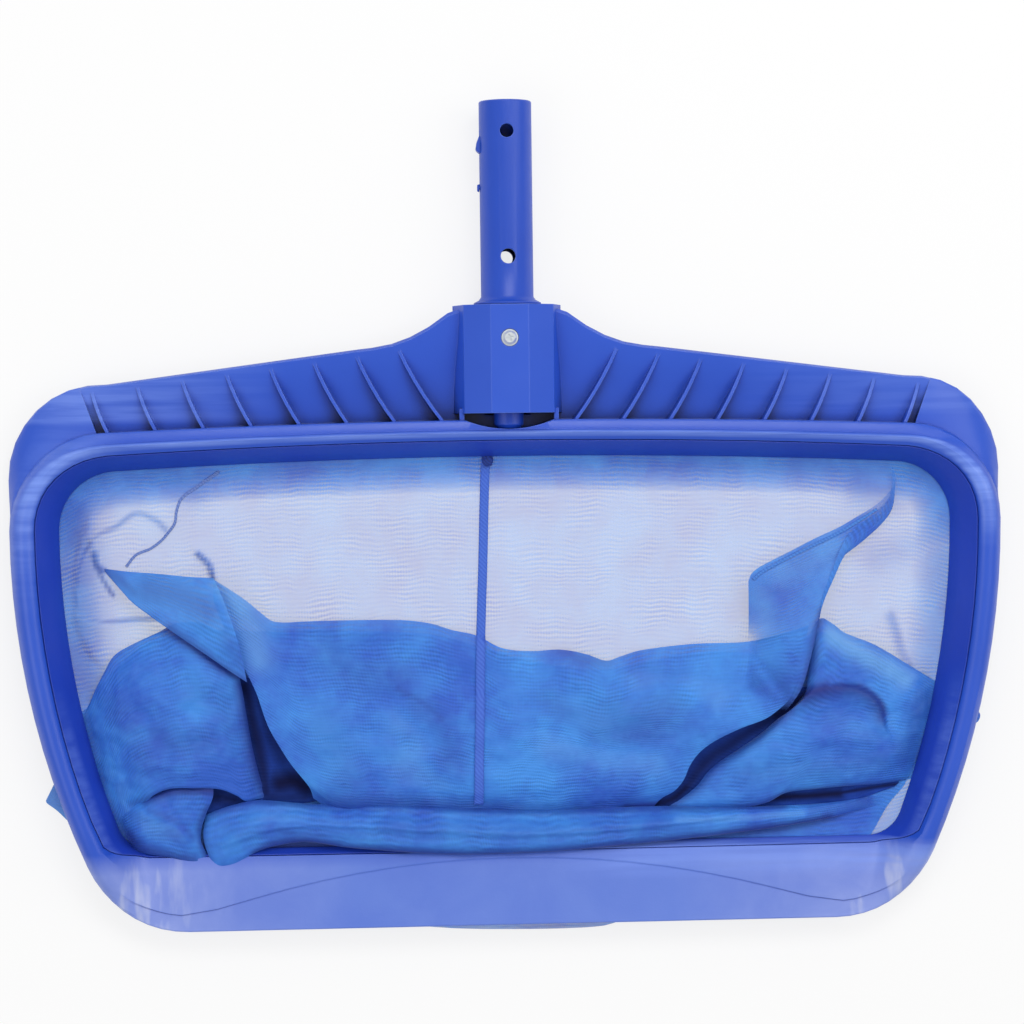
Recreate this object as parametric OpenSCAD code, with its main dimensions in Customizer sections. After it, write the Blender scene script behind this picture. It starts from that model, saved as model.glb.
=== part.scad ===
// Leaf skimmer net for a pool pole, lying on its back with the mouth up.
// X runs across the mouth, Y along the handle, Z up. Millimetres.
// The outlines are drawn from the widest line of the frame (y = 0), then every
// piece is shifted so that the middle of the whole length stands over the origin.

/* [Mouth] */
// Half width of the mouth inside the retaining ring
mouth_half_w = 244.5; // [225:0.5:260]
// From the widest line to the middle of the mouth's top edge
mouth_top = 37; // [35:0.1:42]
// From the widest line to the mouth's bottom edge
mouth_drop = 175.5; // [165:0.5:190]
// Radius of the mouth's top corners
mouth_top_r = 31.5; // [26:0.5:34]
// Radius of the mouth's long curved sides
mouth_side_r = 470; // [380:1:600]
// Radius of the mouth's bottom corners
mouth_low_r = 20; // [20:0.5:28]

/* [Rim] */
// Width of the rim at its sides
rim_w = 26; // [24:0.5:32]
// Width of the rim along its top
rim_top_w = 20; // [19:0.1:23]
// Height of the rim's crest above the floor
rim_h = 30; // [26:0.5:36]
// Height of the rim's back face above the floor
rim_back = 4; // [3:0.1:5]
// Radius of the rim's outer top corners
rim_top_r = 52.5; // [46:0.5:55]
// Radius of the rim's long curved outer sides
rim_side_r = 448; // [410:1:620]
// Wall of the moulded frame
wall = 2.6; // [1.8:0.1:3]
// How far the ledge lies below the crest along the top
ledge_drop = 3.6; // [2:0.1:5]

/* [Scoop lip] */
// Width of the scoop lip and its ramp, from the mouth to the edge
lip_w = 43; // [36:0.5:46]
// Radius of the lip's corners
lip_r = 60; // [50:1:66]
// Height of the lip's edge above the floor
lip_z = 20; // [16:0.5:24]
// Thickness of the lip's edge
lip_t = 1.8; // [1.4:0.1:2.4]
// Width of the thin blade in the middle of the lip
blade_mid_w = 36; // [30:0.5:36]
// Width of the thin blade at the lip's corners
blade_end_w = 10; // [6:0.5:14]
// Step down from the ramp to the thin blade
blade_step = 0.8; // [0.4:0.1:1]

/* [Wings] */
// Half width of the wings
wing_half_w = 271; // [270.6:0.1:273]
// Height of the wing's straight edge where it leaves the shoulder, above the widest line
wing_y_in = 96.5; // [93:0.5:99]
// Height of the wing's straight edge at its corner, above the widest line
wing_y_out = 78; // [75:0.5:80]
// Radius of the wing's outer corner
wing_r = 51; // [45:0.5:53]
// Distance from the middle to where the shoulder's curve ends
shoulder_x = 76; // [72:0.5:84]
// Height of the wing's outer edge above the floor
wing_z = 21; // [17:0.5:23]
// Height of the trough's floor above the floor, beside the socket
trough_z = 10; // [8.5:0.1:12]
// How far the trough's floor has risen at its outer end
trough_rise = 6.5; // [0:0.5:7]
// Height of the wing's skirt above the floor
skirt_z = 14; // [12:0.5:15]

/* [Ribs] */
// Ribs on each wing
rib_count = 8; // [5:1:8]
// Distance from the middle to the first rib's foot
rib_first_x = 35.5; // [34:0.5:40]
// Distance between the feet of neighbouring ribs
rib_pitch = 25.75; // [22:0.25:26]
// Lean of the first rib, in degrees
rib_lean = 31; // [20:1:34]
// How much less each further rib leans, in degrees
rib_lean_step = 1.5; // [0:0.1:2]
// Thickness of a rib at its crest
rib_t = 1.7; // [1.2:0.1:2.4]

/* [Socket housing] */
// Width of the housing across its side edges
housing_w = 48.6; // [44:0.2:52]
// Width of the housing's front facet
facet_w = 20.4; // [18:0.2:24]
// Width of the housing at the foot of its sides
housing_foot_w = 59; // [54:0.5:64]
// Length of the housing along the shank
housing_l = 58.5; // [50:0.5:64]
// Wall between the socket's bore and the housing's front facet
housing_wall = 4.55; // [4:0.05:6]
// Gap between the housing and the ledge in the middle
pocket_gap = 8.5; // [7:0.5:10]
// Radius of the pocket's curved edge
pocket_r = 62; // [56:1:80]

/* [Handle shank] */
// Outside diameter of the shank
shank_d = 28.5; // [27:0.1:29]
// Wall of the shank
shank_wall = 3.5; // [3:0.1:4.5]
// Length of the shank outside the housing
shank_l = 109.8; // [95:0.1:125]
// Height of the collar that seats on the housing
collar_h = 4; // [3:0.5:6]
// How far the collar stands out from the shank
collar_out = 4; // [2:0.5:5]
// Diameter of the spigot at the shank's lower end
spigot_d = 16; // [12:0.5:18]
// Diameter of the front hole near the shank's end
front_hole_d = 7.3; // [5:0.1:8]
// Distance from the shank's end to the front hole
front_hole_y = 16.8; // [14:0.1:20]
// Diameter of the cross hole above the housing
cross_hole_d = 8; // [6:0.1:9]
// Distance from the shank's end to the cross hole
cross_hole_y = 84; // [70:0.5:86]

/* [Snap button] */
// Distance from the shank's end to the button
button_y = 23.3; // [22:0.1:30]
// Length of the button along the shank
button_l = 9; // [7:0.1:11]
// Width of the button across the shank
button_w = 6; // [4:0.1:7]
// How far the button stands out of the shank
button_out = 1.9; // [1.2:0.1:2.4]
// Distance from the shank's end to the stop nib
nib_y = 46.6; // [40:0.1:52]
// Length of the stop nib
nib_l = 4.3; // [3:0.1:6]
// How far the nib stands out of the shank
nib_out = 1.3; // [0.8:0.1:1.8]
// Thickness of the V spring's strip
spring_t = 0.8; // [0.5:0.1:1]
// Width of the V spring's strip
spring_w = 6; // [4:0.5:8]
// Length of the V spring
spring_l = 36; // [28:1:44]

/* [Socket bolt] */
// Diameter of the bolt's shaft
bolt_d = 4; // [3:0.5:5]
// Diameter of the bolt's head
bolt_head_d = 7.5; // [7:0.1:9]
// Height of the bolt's head
bolt_head_h = 2.2; // [1.8:0.1:2.8]
// Distance from the housing's top end to the bolt
bolt_y = 18.1; // [14:0.1:30]
// Width of the nut across its flats
nut_af = 7; // [6:0.1:8]
// Height of the nut
nut_h = 3.2; // [2:0.1:3.2]
// Outside diameter of the washers
washer_d = 9; // [8.4:0.1:10]
// Thickness of a washer
washer_t = 0.8; // [0.5:0.1:1]

/* [Retaining ring] */
// Wall of the retaining ring
ring_t = 2.4; // [1.8:0.1:2.8]
// Width of the ring's slope at the rim's sides
ring_side_w = 11.2; // [10:0.1:13]
// Width of the ring's slope along the rim's top
ring_top_w = 8.8; // [8:0.1:9.5]
// Width of the ring's slope along the scoop lip
ring_low_w = 3.8; // [3.2:0.1:5]
// Height of the ring's upper edge above the floor
ring_h = 26; // [24:0.5:28]
// Height of the ring's edge along the scoop lip
ring_low_h = 9.6; // [9:0.1:11]

/* [Bag] */
// Thickness of the mesh where one layer lies flat
mesh_t = 1.6; // [1:0.1:2]
// Height of the folded heap of mesh above the floor
heap_z = 12; // [8:0.5:15]
// From the widest line down to the heap's upper edge
heap_drop = 66; // [40:1:90]
// Height of the roll of mesh along the lip
roll_z = 19; // [15:0.5:22]
// Width of the roll
roll_w = 26; // [20:1:34]
// How far the mesh sticks out below the lip's edge
tongue_out = 3; // [1:0.5:6]
// Diameter of the piping cord in the hem
piping_d = 2.8; // [2:0.1:3]
// Thickness of the hem tape
hem_t = 0.8; // [0.5:0.1:1]
// Width of the seam tapes
seam_w = 5; // [3:0.5:8]
// Thickness of the seam tapes
seam_t = 0.8; // [0.5:0.1:1.2]
// How far the bag's centre seam lies to the left of the frame's middle
seam_x = 13; // [0:0.5:20]

/* [Clearances] */
// Gap between pieces that lie loose against each other
loose = 0.3; // [0.3:0.05:0.4]
// Radial gap round the shank in the socket and the bolt in its holes
socket_gap = 0.2; // [0.1:0.05:0.4]
// Radial gap round the button in its window
button_gap = 0.3; // [0.2:0.05:0.5]

/* [Hidden] */

frame_blue = [0.22, 0.33, 0.78];
ring_blue = [0.17, 0.27, 0.70];
mesh_blue = [0.35, 0.58, 0.88];
tape_blue = [0.20, 0.38, 0.80];
steel = [0.80, 0.83, 0.86];
spring_steel = [0.55, 0.57, 0.60];

fine = 64;
// Stations along each stretch of half an outline: top, top corner, side, low corner, bottom
steps = [10, 10, 11, 9, 9];

// Outlines' main places, from the widest line
rim_half_w = mouth_half_w + rim_w;
rim_top = mouth_top + rim_top_w;
lip_y = -mouth_drop - lip_w;

// The socket and what stands on it, along the handle
pocket_y = rim_top - 5;
housing_y0 = pocket_y + pocket_gap;
housing_y1 = housing_y0 + housing_l;
collar_y = housing_y1 + loose;
shank_end = housing_y1 + shank_l;
spigot_y = pocket_y + loose;
bore_d = shank_d + 2 * socket_gap;
axis_z = bore_d / 2 + housing_wall;
housing_h = 2 * axis_z;
shank_id = shank_d - 2 * shank_wall;
bolt_place = housing_y1 - bolt_y;

middle_y = (shank_end + lip_y - tongue_out) / 2;

// Rabbet for the hem, between the ring and the frame's inner leg
hem_u = ring_t + loose;
piping_u = hem_u + hem_t + loose / 2 + piping_d / 2;
leg_u = piping_u + piping_d / 2 + loose;
hem_z0 = rim_back + 0.4;
rabbet_z = hem_z0 + piping_d + 2 * loose;
hem_z1 = rabbet_z - loose;

// --- Outlines ---------------------------------------------------------------

function arc(centre, r, a0, a1, n) =
    [for (i = [0 : n - 1]) let (a = a0 + (a1 - a0) * i / n) centre + r * [cos(a), sin(a)]];

// Right half of a rim outline, from its top middle clockwise to its bottom middle
function half_outline(half_w, top, top_r, side_r, low_r, bottom) =
    let (
        cx = half_w - top_r,
        crown_r = (cx * cx + top * top - top_r * top_r) / (2 * (top - top_r)),
        lean = atan2(cx, crown_r - top),
        side_cx = half_w - side_r,
        low_cy = bottom + low_r,
        low_cx = side_cx + sqrt(pow(side_r - low_r, 2) - low_cy * low_cy),
        turn = asin(-low_cy / (side_r - low_r))
    )
    concat(
        arc([0, top - crown_r], crown_r, 90, 90 - lean, steps[0]),
        arc([cx, 0], top_r, 90 - lean, 0, steps[1]),
        arc([side_cx, 0], side_r, 0, -turn, steps[2]),
        arc([low_cx, low_cy], low_r, -turn, -90, steps[3]),
        [for (i = [0 : steps[4]]) [low_cx * (1 - i / steps[4]), bottom]]
    );

inner_half = half_outline(mouth_half_w, mouth_top, mouth_top_r, mouth_side_r,
                          mouth_low_r, -mouth_drop);
outer_half = half_outline(rim_half_w, rim_top, rim_top_r, rim_side_r, lip_r, lip_y);
last = len(inner_half) - 1;

function mirrored(p) = [-p[0], p[1]];
function whole(half) =
    concat(half, [for (i = [last - 1 : -1 : 1]) mirrored(half[i])]);
inner = whole(inner_half);
outer = whole(outer_half);
count = len(inner);

// Station in the right half that a station of the whole outline matches
function half_of(i) = i <= last ? i : 2 * last - i;

function smooth(t) = let (c = min(1, max(0, t))) c * c * (3 - 2 * c);

// Where a station lies along its outline: 0 to 1 over each of the five stretches
corner_at = steps[0];
side_at = corner_at + steps[1];
low_at = side_at + steps[2];
bottom_at = low_at + steps[3];

// How far the section has turned from the top's shape to the side's, and to the lip's
function side_share(i) = smooth((half_of(i) - corner_at) / (0.75 * steps[1]));
function lip_share(i) = smooth((half_of(i) - low_at + 0.15 * steps[2])
                               / (0.75 * steps[3] + 0.15 * steps[2]));

function blend3(i, top, side, low) =
    let (s = side_share(i), l = lip_share(i)) (top * (1 - s) + side * s) * (1 - l) + low * l;

function span(i) = norm(outer[i] - inner[i]);
function across(i) = (outer[i] - inner[i]) / span(i);

// A point at distance u outward from the mouth's edge, at height z
function at(i, u, z) = concat(inner[i] + across(i) * u, z);

// --- Lofts -----------------------------------------------------------------

// A ring of sections joined all the way round: rows[i] is section i
module closed_loft(rows) {
    n = len(rows);
    m = len(rows[0]);
    polyhedron(
        points = [for (row = rows) each row],
        faces = [for (i = [0 : n - 1], j = [0 : m - 1], half = [0, 1])
            let (a = i * m + j, b = i * m + (j + 1) % m,
                 c = ((i + 1) % n) * m + (j + 1) % m, d = ((i + 1) % n) * m + j)
            half == 0 ? [a, b, c] : [a, c, d]]
    );
}

// A run of sections with a flat end at each side
module open_loft(rows) {
    n = len(rows);
    m = len(rows[0]);
    polyhedron(
        points = [for (row = rows) each row],
        faces = concat(
            [for (i = [0 : n - 2], j = [0 : m - 1], half = [0, 1])
                let (a = i * m + j, b = i * m + (j + 1) % m, c = b + m, d = a + m)
                half == 0 ? [a, b, c] : [a, c, d]],
            [[for (j = [m - 1 : -1 : 0]) j]],
            [[for (j = [0 : m - 1]) (n - 1) * m + j]]
        )
    );
}

module placed() {
    translate([0, -middle_y, 0]) children();
}

module shank_axis() {
    translate([0, 0, axis_z]) rotate([-90, 0, 0]) children();
}

// --- Rim of the outer frame --------------------------------------------------

function split_u(i) = blend3(i, ring_top_w, ring_side_w, ring_low_w);
function split_z(i) = blend3(i, ring_h, ring_h + 0.5, ring_low_h);

// The frame steps down behind the ring's upper edge, then slopes to the hem's rabbet
slope_u = hem_u + loose + hem_t * 0.6;
function step_z(i) = split_z(i) - min(1.8, (split_z(i) - rabbet_z) * 0.9);
function slope_at(i, f) =
    [slope_u + (split_u(i) + loose - slope_u) * f, rabbet_z + (step_z(i) - rabbet_z) * f];

// Width of the thin blade, measured in from the lip's edge: an arch that levels out at its ends
blade_half = outer_half[bottom_at][0];
level_out = 14;
function arch(f) = (level_out * pow(f, 2) - 2 * pow(f, level_out)) / (level_out - 2);
function blade_w(i) =
    let (h = half_of(i), x = outer_half[h][0])
    h >= bottom_at
        ? blade_mid_w - (blade_mid_w - blade_end_w) * arch(x / blade_half)
        : blade_end_w * smooth((h - low_at) / (0.8 * steps[3]));

// One section of the rim, from the leg's foot over the crest and back inside
function rim_section(i) =
    let (
        w = span(i),
        su = split_u(i) + loose,
        sz = split_z(i),
        rest = w - su,
        slope = (lip_z - sz) / rest,
        crease = min(1, max(0.03, (w - blade_w(i) - su) / rest)),
        beyond = 1 - crease,
        ledge = rim_h - ledge_drop,
        inside = leg_u + wall,
        in_f = (inside - su) / rest,
        back_z = rabbet_z + (step_z(i) - rabbet_z) * (inside - slope_u) / (su - slope_u) - 1.3 * wall,
        out_f = 1 - wall / rest,
        low = function (f, down) [f, sz + slope * f * rest - down]
    )
    let (
        crest = [
            [[0.10, rim_h - 3.2], [0.07, rim_h - 1.7], low(crease * 0.35, 0)],
            [[0.26, rim_h - 1.2], [0.20, rim_h - 0.4], low(crease * 0.7, 0)],
            [[0.37, rim_h], [0.38, rim_h], low(crease, 0)],
            [[0.44, rim_h - 1.4], [0.58, rim_h - 0.8], low(crease + 0.03 * beyond, blade_step)],
            [[0.50, ledge + 0.4], [0.75, rim_h - 3.4], low(crease + 0.4 * beyond, blade_step)],
            [[0.88, ledge], [0.89, rim_h - 7.5], low(crease + 0.8 * beyond, blade_step)],
            [[0.97, ledge - 0.6], [0.97, rim_h - 13], [1 - 0.4 / rest, lip_z - blade_step]],
            [[1, ledge - 1.8], [1, rim_h - 19], [1, lip_z - blade_step - 0.5]],
            [[1, rim_back], [1, rim_back], [1, lip_z - blade_step - lip_t + 0.3]],
            [[out_f, rim_back], [out_f, rim_back], [1 - 0.5 / rest, lip_z - blade_step - lip_t]],
            [[out_f, ledge - wall - 1], [out_f, rim_h - 19],
                low(crease + 0.8 * beyond, blade_step + lip_t)],
            [[0.58, ledge - wall + 0.2], [0.80, rim_h - 9.6],
                low(crease + 0.4 * beyond, blade_step + lip_t)],
            [[0.38, rim_h - wall - 0.8], [0.62, rim_h - 4.6],
                low(max(crease, in_f + 0.06), blade_step + lip_t)],
            [[max(0.18, in_f + 0.04), rim_h - wall - 3], [0.34, rim_h - wall - 0.6],
                low(max(crease * 0.8, in_f + 0.03), wall)],
            [[in_f, min(rim_h - wall - 4.4, back_z)], [in_f, min(rim_h - wall - 3.6, back_z)],
                low(in_f, wall)],
            [[in_f, rim_back], [in_f, rim_back], [in_f, rim_back]]
        ]
    )
    concat(
        [at(i, leg_u, rim_back), at(i, leg_u, rabbet_z)],
        [at(i, slope_u, rabbet_z), at(i, su, step_z(i)), at(i, su, sz)],
        [for (c = crest) let (p = blend3(i, c[0], c[1], c[2])) at(i, su + p[0] * rest, p[1])]
    );

module rim() {
    closed_loft([for (i = [0 : count - 1]) rim_section(i)]);
}

// --- Wings ------------------------------------------------------------------

wing_cx = wing_half_w - wing_r;
wing_slope = atan2(wing_y_in - wing_y_out, wing_cx - shoulder_x);
wing_cy = wing_y_out - wing_r * cos(wing_slope);
shoulder_y = housing_y1 - 4;
shoulder_in = housing_foot_w / 2;

// Height of the wing's outer edge above the widest line: a shoulder, then straight
function wing_edge(x) =
    x < shoulder_x
        ? wing_y_in + (shoulder_y - wing_y_in)
          * pow((shoulder_x - x) / (shoulder_x - shoulder_in), 2)
          + (shoulder_x - x) * tan(wing_slope) * 0.4
        : wing_y_in - (x - shoulder_x) * tan(wing_slope);

// Matching stations on the rim's ledge and on the wing's outer edge
wing_x0 = housing_w / 2 - 2;
wing_n = 20;
arc_n = 7;
down_n = 3;
foot_in = 1.5;
wing_end_x = wing_cx + wing_r * sin(wing_slope);
wing_edge_pts = concat(
    [for (k = [0 : wing_n - 1])
        let (x = wing_x0 + (wing_end_x - wing_x0) * k / wing_n)
        [x, min(wing_edge(x), housing_y1 - 0.5)]],
    arc([wing_cx, wing_cy], wing_r, 90 - wing_slope, 0, arc_n),
    [for (k = [0 : down_n])
        let (f = k / down_n)
        [wing_half_w - (wing_half_w - rim_half_w + 0.3) * smooth(f), wing_cy * (1 - f)]]
);

// The rim's outer edge at a share of the way from the middle to the widest line
rim_cx = rim_half_w - rim_top_r;
rim_crown_r = (rim_cx * rim_cx + rim_top * rim_top - rim_top_r * rim_top_r)
              / (2 * (rim_top - rim_top_r));
function ledge_y(x) = rim_top - rim_crown_r + sqrt(rim_crown_r * rim_crown_r - x * x);
wing_foot_pts = concat(
    [for (k = [0 : wing_n - 1])
        let (x = wing_x0 + (rim_cx - wing_x0) * k / wing_n) [x, ledge_y(x) - foot_in]],
    [for (k = [0 : arc_n + down_n])
        let (a = 90 - 90 * k / (arc_n + down_n))
        [rim_cx, 0] + (rim_top_r - foot_in) * [cos(a), sin(a)]]
);
wing_last = len(wing_foot_pts) - 1;

// A place between two stations
function between(pts, s) =
    let (k = min(floor(s), wing_last - 1)) pts[k] + (pts[k + 1] - pts[k]) * (s - k);

function wing_reach(s) = norm(between(wing_edge_pts, s) - between(wing_foot_pts, s));

function wing_row(s, profile) =
    let (
        foot = between(wing_foot_pts, s),
        edge = between(wing_edge_pts, s),
        dir = (edge - foot) / norm(edge - foot)
    )
    [for (p = profile) concat(foot + dir * p[0], p[1])];

ledge_z = rim_h - ledge_drop;
corner_z = rim_h - 8;

// Height of the trough's floor beside the rim, at a distance from the middle
function trough_low(x) = trough_z + trough_rise * min(1, x / rim_cx);

// Height of the trough's surface at a share of the way out to the wing's edge
function trough_at(f, low) = low + (wing_z - low) * pow(smooth(f), 1.5);

function trough_profile(s) =
    let (
        reach = wing_reach(s),
        low = trough_low(between(wing_foot_pts, s)[0]),
        thin = reach - wall
    )
    concat(
        [for (f = [0, 0.3, 0.5, 0.7, 0.88, 0.97]) [f * reach, trough_at(f, low)]],
        [
            [reach, wing_z - 2.2], [reach, skirt_z - 4], [thin, skirt_z - 4],
            [0.98 * thin, wing_z - wall - 1.8],
            [0.78 * thin, trough_at(0.72, low) - wall],
            [0.45 * reach, trough_at(0.45, low) - wall],
            [0, low - wall]
        ]
    );

// The trough ends at a wall, and a smooth hood runs on round the wing's corner
hood_from = wing_n + 0.45;
hood_wall = 0.22;

function hood_profile(s, deep) =
    let (
        reach = wing_reach(s),
        turned = (s - hood_from) / (wing_last - hood_from),
        sink = smooth(turned) * 0.45 * (corner_z - rim_back),
        fall = 0.15 + 0.85 * smooth(2.2 * turned),
        thin = max(0.5 * reach, reach - wall),
        top = function (f, drop) corner_z - fall * drop - sink * f,
        under = function (f, drop) deep ? trough_z - wall : max(rim_back + 1, top(f, drop) - wall)
    )
    [
        [-foot_in, corner_z], [0.3 * reach, top(0.3, 1)], [0.5 * reach, top(0.5, 2)],
        [0.7 * reach, top(0.7, 3.4)], [0.88 * reach, top(0.88, 5)], [0.97 * reach, top(0.97, 6.6)],
        [reach, top(1, 8.6)], [reach, max(rim_back + 1, min(skirt_z - 4, top(1, 8.6) - 3))],
        [thin, max(rim_back + 1, min(skirt_z - 4, top(1, 8.6) - 3))],
        [0.97 * thin, under(0.97, 6.8)], [0.78 * thin, under(0.78, 4.2)], [0.45 * reach, under(0.45, 1.8)],
        [0, under(0, 0)]
    ];

module wing() {
    open_loft([for (s = concat([for (k = [0 : wing_n]) k], [hood_from + hood_wall / 2]))
        wing_row(s, trough_profile(s))]);
    deep_rows = [hood_from, hood_from + hood_wall];
    hood_rows = concat([hood_from + hood_wall + 0.06], [for (k = [wing_n + 1 : wing_last]) k]);
    open_loft(concat(
        [for (s = deep_rows) wing_row(s, hood_profile(s, true))],
        [for (s = hood_rows) wing_row(s, hood_profile(s, false))]
    ));
}

rib_steps = 5;

// A rib stands in the trough: full height at the ledge, nothing at the wing's edge
module rib(foot_x, lean) {
    foot = [foot_x, ledge_y(foot_x) - wall / 2];
    rough_x = foot_x + (wing_edge(foot_x) - foot[1]) * tan(lean);
    tip_y = wing_edge(rough_x) - 2.5;
    tip = [foot_x + (tip_y - foot[1]) * tan(lean), tip_y];
    dir = (tip - foot) / norm(tip - foot);
    side = [dir[1], -dir[0]];
    bow = norm(tip - foot) / 34;
    half = rib_t / 2;
    open_loft([for (k = [0 : rib_steps])
        let (
            f = k / rib_steps,
            p = foot + (tip - foot) * f + side * bow * 4 * f * (1 - f),
            crest = ledge_z - 2.6 + (wing_z - 0.4 - ledge_z + 2.6) * f,
            base = trough_at(0.96 * f, trough_low(p[0])) - wall / 2
        )
        [concat(p + side * half * 1.5, base), concat(p + side * half, crest),
         concat(p - side * half, crest), concat(p - side * half * 1.5, base)]
    ]);
}

module wings() {
    for (turn = [0, 1]) mirror([turn, 0, 0]) {
        wing();
        for (n = [0 : rib_count - 1])
            rib(rib_first_x + n * rib_pitch, rib_lean - n * rib_lean_step);
    }
}

// --- Outer frame -------------------------------------------------------------

module housing_block() {
    side_z = axis_z + 0.43 * axis_z;
    foot_z = axis_z - 0.42 * axis_z;
    shape = [
        [facet_w / 2, housing_h], [housing_w / 2, side_z], [housing_foot_w / 2, foot_z],
        [facet_w / 2, 0], [-facet_w / 2, 0], [-housing_foot_w / 2, foot_z],
        [-housing_w / 2, side_z], [-facet_w / 2, housing_h]
    ];
    translate([0, housing_y1, 0]) rotate([90, 0, 0]) linear_extrude(housing_l) polygon(shape);
}

// Pocket between the housing and the ledge, where the shank's spigot shows
module pocket_block() {
    translate([-housing_w / 2 - wall, pocket_y - wall, rim_back + 0.6])
        cube([housing_w + 2 * wall, pocket_gap + 2 * wall, ledge_z - rim_back - 3]);
}

module pocket() {
    intersection() {
        translate([0, pocket_y + pocket_r, trough_z]) cylinder(r = pocket_r, h = rim_h, $fn = 180);
        translate([-housing_w / 2, pocket_y - 1, trough_z])
            cube([housing_w, pocket_gap + 1, rim_h]);
    }
}

module bolt_hole(d, low, high) {
    translate([0, bolt_place, low]) cylinder(d = d, h = high - low, $fn = fine);
}

head_seat = housing_h - 1.2;
nut_pocket = nut_h + washer_t + 0.7;
head_pocket_d = washer_d + 2 * loose;

module nut_shape(af, h) {
    cylinder(d = af / cos(30), h = h, $fn = 6);
}

// The moulded shell of rim, wings and ribs, taken as one surface
module shell() {
    resize([0, 0, 0]) difference() {
        union() {
            rim();
            wings();
            pocket_block();
        }
        pocket();
        shank_axis() translate([0, 0, housing_y0 - 1]) cylinder(d = bore_d + 2, h = housing_l, $fn = fine);
    }
}

module outer_frame() {
    color(frame_blue) placed() difference() {
        union() {
            shell();
            housing_block();
        }
        shank_axis() translate([0, 0, housing_y0 - 1]) cylinder(d = bore_d, h = housing_l + 2, $fn = fine);
        bolt_hole(bolt_d + 2 * socket_gap, -1, housing_h + 1);
        bolt_hole(head_pocket_d, head_seat, housing_h + 1);
        bolt_hole(head_pocket_d, -1, nut_pocket);
    }
}

// --- Retaining ring -----------------------------------------------------------

function ring_section(i) =
    let (
        su = split_u(i),
        sz = split_z(i),
        foot = hem_z0 - 0.1,
        knee = foot + 1.3,
        back = slope_at(i, 0.4)
    )
    [
        at(i, 0, foot), at(i, 0, knee),
        at(i, su * 0.5, knee + (sz - knee) * 0.5), at(i, su - 0.5, sz - 0.3), at(i, su, sz - 0.6),
        at(i, su, step_z(i) + 0.1), at(i, back[0] - 1.15 * loose, back[1]),
        at(i, ring_t, rabbet_z - 0.2), at(i, ring_t, foot)
    ];

module ring_body() {
    closed_loft([for (i = [0 : count - 1]) ring_section(i)]);
}

module retaining_ring() {
    color(ring_blue) placed() ring_body();
}

// --- Handle shank -------------------------------------------------------------

module shank_window() {
    translate([-shank_d / 2 - 1, shank_end - button_y, axis_z])
        rotate([0, 90, 0])
            linear_extrude(shank_wall + 2)
                square([button_w + 2 * button_gap, button_l + 2 * button_gap], center = true);
}

module handle_shank() {
    floor_y = housing_y0 + 0.5;
    tip = spigot_d / 4;
    color(frame_blue) placed() difference() {
        union() {
            shank_axis() rotate_extrude($fn = fine) polygon([
                [0, spigot_y], [spigot_d / 2 - tip / 2, spigot_y], [spigot_d / 2, spigot_y + tip / 2],
                [spigot_d / 2, floor_y], [shank_d / 2, floor_y], [shank_d / 2, collar_y],
                [shank_d / 2 + collar_out, collar_y], [shank_d / 2 + collar_out, collar_y + 0.8],
                [shank_d / 2 + collar_out * 0.3, collar_y + collar_h * 0.55],
                [shank_d / 2, collar_y + collar_h], [shank_d / 2, shank_end - 0.6],
                [shank_d / 2 - 0.6, shank_end], [shank_id / 2, shank_end],
                [shank_id / 2, floor_y + shank_wall], [0, floor_y + shank_wall]
            ]);
            translate([-shank_d / 2, shank_end - nib_y, axis_z])
                intersection() {
                    scale(nib_l / 2) sphere(1, $fn = 24);
                    translate([-nib_out, -nib_l / 2, -nib_l / 2]) cube([nib_out + 1, nib_l, nib_l]);
                }
        }
        translate([0, shank_end - front_hole_y, axis_z])
            cylinder(d = front_hole_d, h = shank_d, $fn = fine);
        translate([0, shank_end - cross_hole_y, -1])
            cylinder(d = cross_hole_d, h = housing_h + 2, $fn = fine);
        bolt_hole(bolt_d + 2 * socket_gap, -1, housing_h + 1);
        shank_window();
    }
}

// --- Snap button and its spring ------------------------------------------------

flange_t = 1.2;
flange_in = shank_id / 2 - loose;

// Sheet of the V spring, seen from above: two legs from a bend
module snap_spring() {
    place = shank_end - button_y;
    leg_x = flange_in - flange_t - loose;
    bend_y = place - spring_l;
    right_x = shank_id / 2 - 0.6;
    half = spring_t / 2;
    color(spring_steel) placed() translate([0, 0, axis_z - spring_w / 2]) linear_extrude(spring_w)
        polygon([
            [-leg_x, place + 5], [-leg_x, place - 5], [-2.4, bend_y + 3], [0, bend_y], [2.4, bend_y + 3],
            [right_x, place - 5], [right_x, place + 5], [right_x - spring_t, place + 5],
            [right_x - spring_t, place - 5], [2.4 - spring_t * 1.1, bend_y + 3.6], [0, bend_y + spring_t],
            [-2.4 + spring_t * 1.1, bend_y + 3.6], [-leg_x + spring_t, place - 5],
            [-leg_x + spring_t, place + 5]
        ]);
}

module snap_button() {
    place = shank_end - button_y;
    out = shank_d / 2 + button_out;
    color(frame_blue) placed() translate([0, place, axis_z]) {
        intersection() {
            translate([-out, -button_l / 2, -button_w / 2])
                cube([out - flange_in + flange_t, button_l, button_w]);
            translate([0, 0, -button_w]) linear_extrude(2 * button_w) polygon([
                [-flange_in + flange_t, -button_l / 2], [-shank_d / 2 - 0.2, -button_l / 2],
                [-out + 0.3, -button_l / 2 + 1.2], [-out, -button_l / 2 + 2.4],
                [-out + 0.5, button_l / 8], [-shank_d / 2 - 0.1, button_l / 2],
                [-flange_in + flange_t, button_l / 2]
            ]);
        }
        intersection() {
            translate([-flange_in, -button_l / 2 - 1.5, -button_w / 2 - 1.2])
                cube([flange_t, button_l + 3, button_w + 2.4]);
            rotate([90, 0, 0]) cylinder(r = flange_in, h = 3 * button_l, center = true, $fn = fine);
        }
    }
}

// --- Bolt, washers and nut -----------------------------------------------------

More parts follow.
